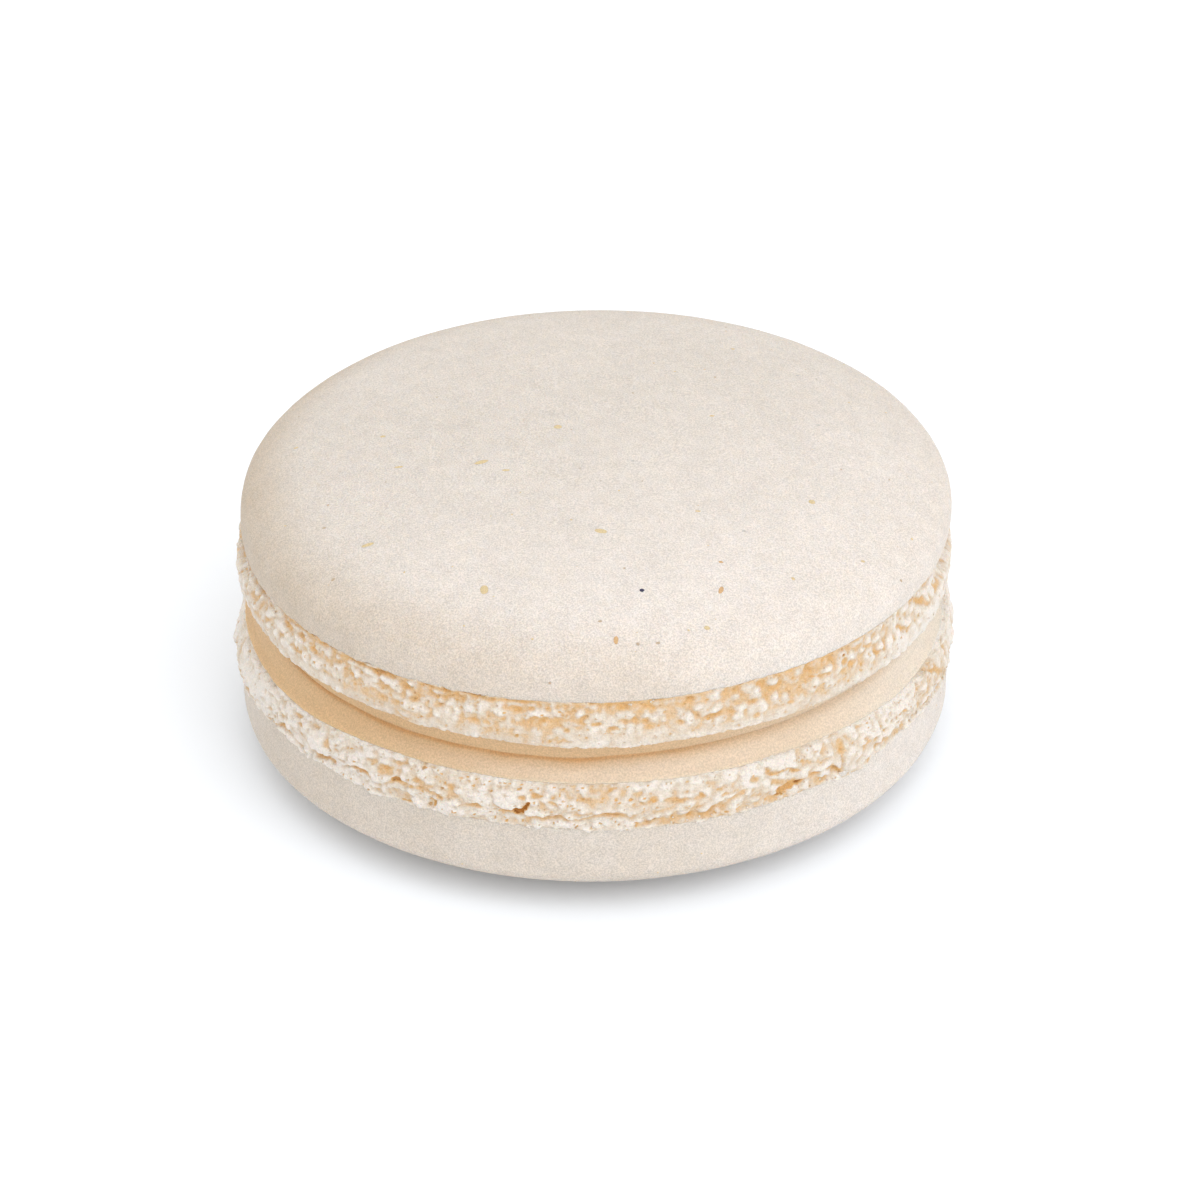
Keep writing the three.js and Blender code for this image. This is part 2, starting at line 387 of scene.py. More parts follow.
# How the browning near the edge, the pale painted light and the browner front run over each crust. Each
# is a direction, the distances in millimetres that it goes from and to along it, and its strengths there.
# The browning is partly real and partly painted shade, as it is strongest at the shaded left; the
# painted light makes the lit side paler.
UPPER_TONES = {
    "tan": ((1, -0.25, 0), -24, 18, 1.0, 0.15),
    "painted_light": ((0.45, -0.9, 0), -6, 22, 0, 0.75),
    "front": ((0, -1, 0), 19, 22, 0, 0.24),
}
LOWER_TONES = {
    "tan": ((1, 0, 0), -5, 18, 0.45, 0.1),
    "painted_light": ((1, 0, 0), 2, 20, 0.1, 0.6),
    "front": ((0, -1, 0), 19, 22, 0, 0),
}


def crust_material(colours, name, shell, lip_level, tones, pore_seed):
    """Matt crust: cream, with pale clouds, a tan edge, sandy grain and a few pinholes."""
    material, nodes, shader, where = baked_material(name, 0.82, 0.25, 0.9 * MM)
    tan_from, tan_to = shell.shoulder_radius - 4.5 * MM, shell.shoulder_radius + 0.6 * MM
    x, y, level = nodes.split(nodes.vector("SUBTRACT", where, (shell.shift, 0, 0)))
    across = nodes.add("ShaderNodeCombineXYZ", {0: x, 1: y})
    radius = nodes.vector("LENGTH", across).outputs["Value"]

    clouds = nodes.noise(where, 7 * MM, 3, 0.6)
    shares = {}
    for tone, (way, start, end, first, last) in tones.items():
        facing = nodes.vector("DOT_PRODUCT", where, way).outputs["Value"]
        shares[tone] = nodes.ramp(facing, start * MM, end * MM, first, last)
    # Painted light: the crust is paler on its lit side.
    paler, away = shares["painted_light"], nodes.math("ADD", shares["tan"], shares["front"])
    cloudy = nodes.math("ADD", paler, nodes.ramp(clouds.outputs[0], 0.35, 0.7, 0, 0.2), True)
    base = nodes.mix_colour(cloudy, colours.crust, colours.crust_painted_light)
    patchy = nodes.noise(nodes.vector("ADD", where, (0.05, 0.02, 0)), 9 * MM, 2)
    patches = nodes.ramp(patchy.outputs[0], 0.25, 0.75, 0.55, 1)
    browned = nodes.math("MULTIPLY", nodes.ramp(radius, tan_from, tan_to), patches)
    # The tan edge: partly real browning, and partly painted shade where it is strongest, at the shaded
    # left.
    base = nodes.mix_colour(nodes.math("MULTIPLY", browned, away), base, colours.crust_tan)

    mottle = nodes.noise(where, 1.2 * MM, 4, 0.65)
    grain = nodes.noise(where, 0.1 * MM, 2, 0.7)
    warmth = nodes.noise(nodes.vector("ADD", where, (0.02, 0.01, 0)), 0.6 * MM, 2, 0.6)
    tinted = nodes.mix_colour(nodes.spread(warmth, 0.0, 1.0), (1.007, 1.0, 0.988), (0.993, 1.0, 1.012))
    base = nodes.mix_colour(1.0, base, tinted, "MULTIPLY")
    coarse = nodes.spread(mottle, 0.965, 1.035)
    base = nodes.toned(base, nodes.math("ADD", coarse, nodes.spread(grain, -0.17, 0.17)))

    seeded = nodes.vector("ADD", where, (pore_seed * 0.01, 0, 0))
    pinhole = nodes.cells(seeded, 1.5 * MM, 0.55, 0.07, 0.03)
    base = nodes.mix_colour(nodes.math("MULTIPLY", pinhole, 0.7), base, colours.crust_pore)
    # Painted shade: near the lip the crust's underside takes the foam's tan, for the shade under the lip.
    inwards = nodes.ramp(radius, shell.lip_radius - 0.04 * MM, shell.lip_radius - 0.16 * MM)
    from_lip = nodes.math("ABSOLUTE", nodes.math("SUBTRACT", level, lip_level))
    underside = nodes.math("MULTIPLY", inwards, nodes.ramp(from_lip, 0.9 * MM, 0.6 * MM))
    base = nodes.mix_colour(underside, base, colours.foam_tan)

    sandy = nodes.math("ADD", grain.outputs[0], nodes.math("MULTIPLY", mottle.outputs[0], 0.6))
    height = nodes.math("SUBTRACT", sandy, nodes.math("MULTIPLY", pinhole, 1.2))
    finish_material(nodes, shader, base, height, 0.05 * MM, 0.55)
    return material


# The foam's colours on their way in: how deep each starts to show, how deep it is full, and its name.
# Deeper in, these colours are partly the tan of torn foam and stains and partly painted shade.
FOAM_LAYERS = (
    (0.05, 0.3, "foam"),
    (0.28, 0.58, "foam_cream"),
    (0.55, 0.85, "foam_tan"),
    (0.84, 1.05, "foam_deep"),
    (1.1, 1.9, "foam_cave_shade"),
)


def foam_material(colours):
    """Torn foam, coloured by how deep each point lies. "hollow" goes from 0 on the lumps' tops to 1 in the
    crevices, so that it is the share of the foam that stands out further, and on to 2 inside the caves."""
    material, nodes, shader, where = baked_material("baked foam", 0.85, 0.3, 0.3 * MM)
    # Painted shade: the deeper a point lies in a crevice, under an overhang or in a cave, the darker it is.
    hollow = nodes.add("ShaderNodeAttribute", attribute_name="hollow").outputs["Fac"]
    fine = nodes.noise(where, 0.18 * MM, 3, 0.6)
    depth = nodes.math("ADD", hollow, nodes.spread(fine, -0.04, 0.04))
    base = colours.foam_pale
    for starts, full, name in FOAM_LAYERS:
        base = nodes.mix_colour(nodes.ramp(depth, starts, full), base, getattr(colours, name))

    # Small pores, partly their own tan and partly painted shade.
    pore = nodes.cells(nodes.vector("ADD", where, (0.03, 0, 0)), 0.36 * MM, 0.45, 0.24, 0.1)
    base = nodes.mix_colour(nodes.math("MULTIPLY", pore, 0.35), base, colours.foam_pore)

    grain = nodes.noise(where, 0.12 * MM, 3, 0.7)
    base = nodes.toned(base, nodes.spread(grain, 0.91, 1.09))
    crumb = nodes.math("MULTIPLY", fine.outputs[0], 2.0)
    height = nodes.math("SUBTRACT", nodes.math("ADD", grain.outputs[0], crumb), pore)
    finish_material(nodes, shader, base, height, 0.08 * MM, 0.9)
    return material


RISE_SPAN = (-3 * MM, 9 * MM)  # from left to right, where the filling's crease climbs


def filling_material(colours, filling, crease_level):
    """Caramel cream: satin, with painted shade along its crease and fine drawn streaks round the macaron.
    """
    material, nodes, shader, where = baked_material("caramel cream", 0.6, 0.35, 0.8 * MM, 0.35)
    across, _, level = nodes.split(where)
    level = nodes.math("SUBTRACT", level, nodes.ramp(across, *RISE_SPAN, 0, filling.rise))
    wander = nodes.noise(where, 5 * MM, 2)
    level = nodes.math("ADD", level, nodes.spread(wander, -0.06 * MM, 0.06 * MM))

    # Painted shade on the shaded left, and painted light on the lit right.
    shade_on_left = nodes.ramp(across, -17 * MM, 1 * MM, 1, 0)
    base = nodes.mix_colour(shade_on_left, colours.filling, colours.filling_painted_shade)
    base = nodes.mix_colour(nodes.ramp(across, 11 * MM, 20 * MM), base, colours.filling_painted_light)
    # Painted shade on the wall under the upper shell, more at the left.
    browner = nodes.ramp(across, 1 * MM, 14 * MM, 0.85, 0.25)
    wall = nodes.math("MULTIPLY", nodes.ramp(level, crease_level - 0.6 * MM, crease_level), browner)
    base = nodes.mix_colour(wall, base, colours.filling_painted_shade)
    # Painted shade along the crease.
    from_below = nodes.ramp(level, crease_level - 0.2 * MM, crease_level)
    from_above = nodes.ramp(level, crease_level, crease_level + 0.1 * MM, 1, 0)
    crease = nodes.math("MULTIPLY", from_below, from_above)
    strength = nodes.ramp(across, 1 * MM, 11 * MM, 0.65, 0)
    base = nodes.mix_colour(nodes.math("MULTIPLY", crease, strength), base, colours.filling_crease_shade)

    drawn_out = nodes.vector("MULTIPLY", where, (0.12, 0.12, 1))
    streaks = nodes.noise(drawn_out, 0.3 * MM, 2, 0.6)
    grain = nodes.noise(where, 0.11 * MM, 2, 0.7)
    streaky = nodes.spread(streaks, 0.98, 1.02)
    base = nodes.toned(base, nodes.math("ADD", streaky, nodes.spread(grain, -0.13, 0.13)))
    height = nodes.math("ADD", streaks.outputs[0], nodes.math("MULTIPLY", grain.outputs[0], 0.5))
    finish_material(nodes, shader, base, height, 0.04 * MM, 0.5)
    return material


# ---- Turned bodies: the crusts and the filling ---------------------------------------------------------

PATH_RADIUS = 10 * MM  # of the circle that a profile is swept round


def turned_tree():
    """Geometry Nodes that turn a profile round the axis and make the surface uneven."""
    tree = bpy.data.node_groups.get("Turned body")
    if tree:
        return tree
    tree = bpy.data.node_groups.new("Turned body", "GeometryNodeTree")
    face = tree.interface
    face.new_socket("Geometry", in_out="INPUT", socket_type="NodeSocketGeometry")
    face.new_socket("Rounds", in_out="INPUT", socket_type="NodeSocketInt")
    for name in (
        "Swell", "Swell size", "Grain", "Grain size", "Ragged", "Ragged size", "Edge level", "Edge band",
        "Shift", "Lean", "Rise", "Rise level", "Sag", "Seed",
    ):
        face.new_socket(name, in_out="INPUT", socket_type="NodeSocketFloat")
    face.new_socket("Material", in_out="INPUT", socket_type="NodeSocketMaterial")
    face.new_socket("Geometry", in_out="OUTPUT", socket_type="NodeSocketGeometry")

    nodes = Nodes(tree)
    given = nodes.add("NodeGroupInput").outputs
    profile = nodes.add("GeometryNodeMeshToCurve", {0: given["Geometry"]})
    circle = {"Resolution": given["Rounds"], "Radius": PATH_RADIUS}
    path = nodes.add("GeometryNodeCurvePrimitiveCircle", circle)
    turned = nodes.add("GeometryNodeCurveToMesh", {"Curve": path, "Profile Curve": profile})
    closed = nodes.add("GeometryNodeMergeByDistance", {"Geometry": turned, "Distance": 0.001 * MM})

    def centred(name, detail):
        """Noise about zero, of the size and strength that the inputs of that name give."""
        size = nodes.math("DIVIDE", 1.0, given[f"{name} size"])
        noise = nodes.add("ShaderNodeTexNoise", {"Vector": seeded, "Scale": size, "Detail": detail})
        offset = nodes.vector("SUBTRACT", noise.outputs["Color"], (0.5, 0.5, 0.5))
        return nodes.scale(offset, nodes.math("MULTIPLY", given[name], 2.0))

    position = nodes.add("GeometryNodeInputPosition")
    seed_offset = nodes.add("ShaderNodeCombineXYZ", {0: given["Seed"], 1: given["Seed"]})
    seeded = nodes.vector("ADD", position, seed_offset)
    normal = nodes.add("GeometryNodeInputNormal")
    depths = [nodes.split(centred(name, 2.0))[0] for name in ("Swell", "Grain")]
    relief = nodes.scale(normal, nodes.math("ADD", *depths))

    # The edge is broken unevenly, and more so at the left.
    x, _, z = nodes.split(position)
    away = nodes.math("ABSOLUTE", nodes.math("SUBTRACT", z, given["Edge level"]))
    at_edge = nodes.ramp(away, given["Edge band"], 0.0)
    more_left = nodes.ramp(x, -8 * MM, 1 * MM, 1.7, 0.6)
    broken = nodes.scale(centred("Ragged", 3.0), nodes.math("MULTIPLY", at_edge, more_left))

    # Near the edge the body leans, at the rise's level it climbs to the right, and it sags at both sides.
    lean = nodes.math("MULTIPLY", x, given["Lean"])
    lean = nodes.math("MULTIPLY", lean, nodes.ramp(away, 2.4 * MM, 0.3 * MM))
    to_rise = nodes.math("ABSOLUTE", nodes.math("SUBTRACT", z, given["Rise level"]))
    rise = nodes.math("MULTIPLY", given["Rise"], nodes.ramp(x, *RISE_SPAN))
    rise = nodes.math("MULTIPLY", rise, nodes.ramp(to_rise, 0.9 * MM, 0.15 * MM))
    sideways = nodes.ramp(nodes.math("ABSOLUTE", x), 12 * MM, 20 * MM)
    sinking = nodes.math("MULTIPLY", sideways, nodes.ramp(away, 1.0 * MM, 0.3 * MM))
    sag = nodes.math("MULTIPLY", given["Sag"], sinking)
    upwards = nodes.math("SUBTRACT", nodes.math("ADD", lean, rise), sag)
    moving = nodes.add("ShaderNodeCombineXYZ", {0: given["Shift"], 2: upwards})
    offset = nodes.vector("ADD", nodes.vector("ADD", relief, broken), moving)
    moved = nodes.add("GeometryNodeSetPosition", {"Geometry": closed, "Offset": offset})
    smooth = nodes.add("GeometryNodeSetShadeSmooth", {"Geometry": moved})
    real = nodes.add("GeometryNodeRealizeInstances", {"Geometry": smooth})
    finished = nodes.add("GeometryNodeSetMaterial", {"Geometry": real, "Material": given["Material"]})
    nodes.add("NodeGroupOutput", {0: finished})
    return tree


def apply_tree(name, mesh, tree, inputs):
    """Runs the tree on the mesh, and gives a plain object of that name that holds what it made."""
    remove_object(name)
    holder = add_object(name + "_source", mesh)
    modifier = holder.modifiers.new("Shape", "NODES")
    modifier.node_group = tree
    sockets = {item.name: item.identifier for item in tree.interface.items_tree if item.in_out == "INPUT"}
    for socket, value in inputs.items():
        modifier[sockets[socket]] = value
    graph = bpy.context.evaluated_depsgraph_get()
    made = bpy.data.meshes.new_from_object(holder.evaluated_get(graph), depsgraph=graph)
    made.name = name
    bpy.data.objects.remove(holder)
    if not made.polygons:
        raise RuntimeError(f"{name} came out empty")
    return add_object(name, made)


def turn_profile(name, profile, inputs):
    """A body turned from a profile of (radius, height) points, from its upper pole to its lower."""
    points = [(radius - PATH_RADIUS, -height, 0) for radius, height in profile]
    mesh = bpy.data.meshes.new(name + "_profile")
    mesh.from_pydata(points, [(i, i + 1) for i in range(len(points) - 1)], [])
    return apply_tree(name, mesh, turned_tree(), inputs)


def spaced_along(points, spacings):
    """Points along the line through the given points, as far apart as the spacing given at each of them."""
    points = np.array(points, float)
    steps = np.hypot(*np.diff(points, axis=0).T)
    spacings = np.array(spacings, float)
    density = steps / ((spacings[1:] + spacings[:-1]) / 2)
    travelled = np.concatenate([[0], np.cumsum(density)])
    wanted = np.linspace(0, travelled[-1], int(round(travelled[-1])) + 1)
    return np.column_stack([np.interp(wanted, travelled, points[:, axis]) for axis in (0, 1)])


def rounded_corner(start, corner, end, steps=8):
    """Points on a curve that leaves start towards corner and reaches end from it."""
    start, corner, end = (np.array(point, float) for point in (start, corner, end))
    shares = np.linspace(0, 1, steps)[:, None]
    return (1 - shares) ** 2 * start + 2 * shares * (1 - shares) * corner + shares**2 * end


def crust_profile(shell):
    """The crust of a shell as (radius, height over the base) points, from its middle to its inside."""
    rise = shell.crust_height - shell.shoulder_height
    turns = np.linspace(math.pi / 2, 0, 2400)
    radii = shell.shoulder_radius * np.cos(turns).clip(0) ** (2 / shell.side_exponent)
    across = (shell.rest_radius / shell.shoulder_radius) ** shell.side_exponent
    rise = rise / (1 - across) ** (1 / shell.top_exponent)
    heights = shell.shoulder_height + rise * np.sin(turns).clip(0) ** (2 / shell.top_exponent)
    dome = np.column_stack([radii, heights])
    dome = dome[radii >= shell.rest_radius]
    if shell.rest_radius > 0:
        dome = np.vstack([[[0, shell.crust_height]], dome])
    thick, deep = 0.22 * MM, 0.9 * MM
    lip = (shell.lip_radius, shell.lip_height)
    side_end = (shell.lip_radius, shell.lip_height + thick)
    under = (shell.lip_radius - thick, shell.lip_height + 0.03 * MM)
    inside = (shell.lip_radius - deep, shell.lip_height + 0.12 * MM)
    line = np.vstack([dome, rounded_corner(side_end, lip, under), [inside], [(0, inside[1])]])
    near_lip = smooth_step(line[:, 1], shell.shoulder_height + 0.9 * MM, shell.shoulder_height)
    spacings = 0.3 * MM - 0.23 * MM * near_lip
    spacings[-1] = 7 * MM
    spacings[-2] = 0.2 * MM
    if shell.rest_radius > 0:
        spacings[0] = 1.0 * MM
    return spaced_along(line, spacings)


def filling_profile(filling, crease_level):
    """The filling as (radius, height) points, from its upper pole to its lower."""
    groove = 0.04 * MM
    wall = rounded_corner(
        (filling.top_radius, filling.top_level),
        (filling.crease_radius + 0.1 * MM, filling.top_level - 0.5 * MM),
        (filling.crease_radius, crease_level + 0.1 * MM),
    )
    crease = [(filling.crease_radius - groove, crease_level)]
    sunk = filling.bottom_level - 0.3 * MM
    ledge = rounded_corner(
        (filling.crease_radius + 0.1 * MM, crease_level - 0.07 * MM),
        (filling.rim_radius - 0.45 * MM, filling.bottom_level + 0.4 * MM),
        (filling.rim_radius, filling.bottom_level - 0.05 * MM),
    )
    under = [(filling.rim_radius - 0.15 * MM, sunk), (0, sunk)]
    line = np.vstack([[(0, filling.top_level)], wall, crease, ledge, under])
    spacings = np.full(len(line), 0.06 * MM)
    spacings[[0, -1]] = 7 * MM
    return spaced_along(line, spacings)


# ---- Feet ----------------------------------------------------------------------------------------------


class FoamStrip:
    """A foot's visible side, unrolled: x runs round the macaron and y across the foot, from its base to its
    seam. Lumps and holes are worked into it, and it is then laid on the foot's outline."""

    def __init__(self, rounds, along, radius, seed):
        self.width = 2 * math.pi * radius
        self.step = self.width / rounds
        self.y = along
        self.seed = seed
        self.random = np.random.default_rng(seed)
        angles = np.arange(rounds) * 2 * math.pi / rounds
        self.points = np.stack(np.broadcast_arrays(
            radius * np.sin(angles)[:, None], -radius * np.cos(angles)[:, None], along[None, :]
        ), axis=-1)
        self.ring = self.points[:, :1] * (1, 1, 0)
        self.turns = np.degrees(np.arctan2(self.ring[..., 0], -self.ring[..., 1]))  # from the front
        # The warp bends every lump and hole, so that none is a plain oval.
        self.warp = np.stack([
            0.18 * MM * layered_noise(self.points, 0.7 * MM, seed + 50 + axis)
            + 0.08 * MM * soft_noise(self.points, 0.2 * MM, seed + 60 + axis)
            for axis in (0, 1)
        ])
        self.height = np.zeros((rounds, len(along)))
        self.holes = np.zeros((rounds, len(along)))
        self.shade = np.zeros((rounds, len(along)))

    def patch(self, x, y, reach):
        """The columns and rows near a point, and how far each of their vertices is from it both ways."""
        margin = reach + 0.2 * MM  # which leaves room for the warp
        columns = np.arange(math.floor((x - margin) / self.step), math.ceil((x + margin) / self.step) + 1)
        away = columns * self.step - x
        columns = columns % len(self.height)
        first, last = np.searchsorted(self.y, (y - margin, y + margin))
        rows = np.arange(first, last)
        where = np.ix_(columns, rows)
        warp = self.warp[:, where[0], where[1]] * min(1, reach / (0.5 * MM))  # less for the small ones
        return where, away[:, None] + warp[0], self.y[rows][None, :] - y + warp[1]

    def oval(self, x, y, half_length, half_width, tilt):
        """The vertices near a point, with a number for each: 1 at the oval's middle, and 0 at its edge."""
        where, dx, dy = self.patch(x, y, max(half_length, half_width))
        along = dx * math.cos(tilt) + dy * math.sin(tilt)
        across = dy * math.cos(tilt) - dx * math.sin(tilt)
        return where, (1 - (along / half_length) ** 2 - (across / half_width) ** 2).clip(0)

    def scatter(self, number, low, high):
        """Random points on the strip, between two heights."""
        return zip(self.random.uniform(0, self.width, number), self.random.uniform(low, high, number))

    def grow_lump(self, x, y, half_length, half_width, rise, tilt=0.0):
        """A rounded lump that stands on what is already there, with a crease all round it."""
        where, inside = self.oval(x, y, half_length, half_width, tilt)
        row = min(int(np.searchsorted(self.y, y)), len(self.y) - 1)
        foundation = 0.65 * self.height[int(x / self.step) % len(self.height), row]
        dome = foundation + rise * (np.sqrt(inside) - 0.3)
        there = self.height[where]
        self.height[where] = np.where(inside > 0, np.maximum(there, dome), there)

    def sink_hole(self, x, y, half_length, half_width, depth, tilt=0.0, shade=0.0):
        """A soft hollow or a burst bubble. With a shade it is a cave: steep sides and a dark floor."""
        where, inside = self.oval(x, y, half_length, half_width, tilt)
        sunk = smooth_step(inside, 0, 0.5) if shade else inside**1.2
        self.holes[where] = np.maximum(self.holes[where], depth * sunk)
        # The cave's floor is darkened by painted shade.
        self.shade[where] = np.maximum(self.shade[where], shade * smooth_step(inside, 0.02, 0.25))

    def place(self, angle):
        """Where on the strip a number of degrees from the front lies."""
        return math.radians(angle) / (2 * math.pi) * self.width % self.width

    def crevice(self, course, start, deepest, fade, way, seed):
        """A meandering tear along the foot. The course is where it runs: degrees from the front, height
        over the start, and how deep it is there. Its upper side overhangs it, and it fades out below over
        the length fade. way is 1 where y runs upwards."""
        angles, levels, shares = np.array(course).T
        wander = layered_noise(self.ring, 1.4 * MM, seed, 4)
        unseen = smooth_step(np.abs(self.turns), 55, 75)
        wander = (0.05 + 0.12 * unseen) * MM * wander
        centre = start + np.interp(self.turns, angles, levels, period=360) * MM + wander
        strength = np.interp(self.turns, angles, shares, period=360)
        strength = strength * smooth_step(layered_noise(self.ring, 1.3 * MM, seed + 10, 4), -0.9, 0.2)
        below = way * (centre - self.y[None, :])
        sunk = np.where(below < 0, smooth_step(below, -0.06 * MM, 0), smooth_step(below, fade, 0))
        return deepest * strength * sunk

    def overhung(self, height, way, reach=0.5 * MM, slope=0.25):
        """How far the foam above stands out over each vertex, less with the distance to it."""
        spacing = np.median(np.diff(self.y))
        most = np.zeros_like(height)
        for rows in range(1, int(reach / spacing) + 1):
            above = np.roll(height, -way * rows, axis=1)
            most = np.maximum(most, above - height - slope * rows * spacing)
        return most


def blurred(values, columns, rows):
    """The mean over a window of that many columns and rows on each side, closed round the macaron."""
    padded = np.concatenate([values[-columns:], values, values[:columns]])
    padded = np.pad(padded, ((0, 0), (rows, rows)), mode="edge")
    sums = np.pad(padded.cumsum(0).cumsum(1), ((1, 0), (1, 0)))
    wide, tall = 2 * columns + 1, 2 * rows + 1
    total = sums[wide:, tall:] - sums[:-wide, tall:] - sums[wide:, :-tall] + sums[:-wide, :-tall]
    return total / (wide * tall)


def smooth_line(points, fine, coarse, low, high):
    """Points along a smooth line through the given ones: a fine step apart where their height is between
    low and high, and a coarse step apart elsewhere. Gives them and how far along the line each is."""
    points = np.array(points, float)
    for _ in range(4):
        cut = np.empty((2 * len(points) - 2, 2))
        cut[0::2] = 0.75 * points[:-1] + 0.25 * points[1:]
        cut[1::2] = 0.25 * points[:-1] + 0.75 * points[1:]
        points = np.vstack([points[:1], cut, points[-1:]])
    shown = (points[:, 1] > low) & (points[:, 1] < high)
    points = spaced_along(points, np.where(shown, fine, coarse))
    return points, np.concatenate([[0], np.cumsum(np.hypot(*np.diff(points, axis=0).T))])


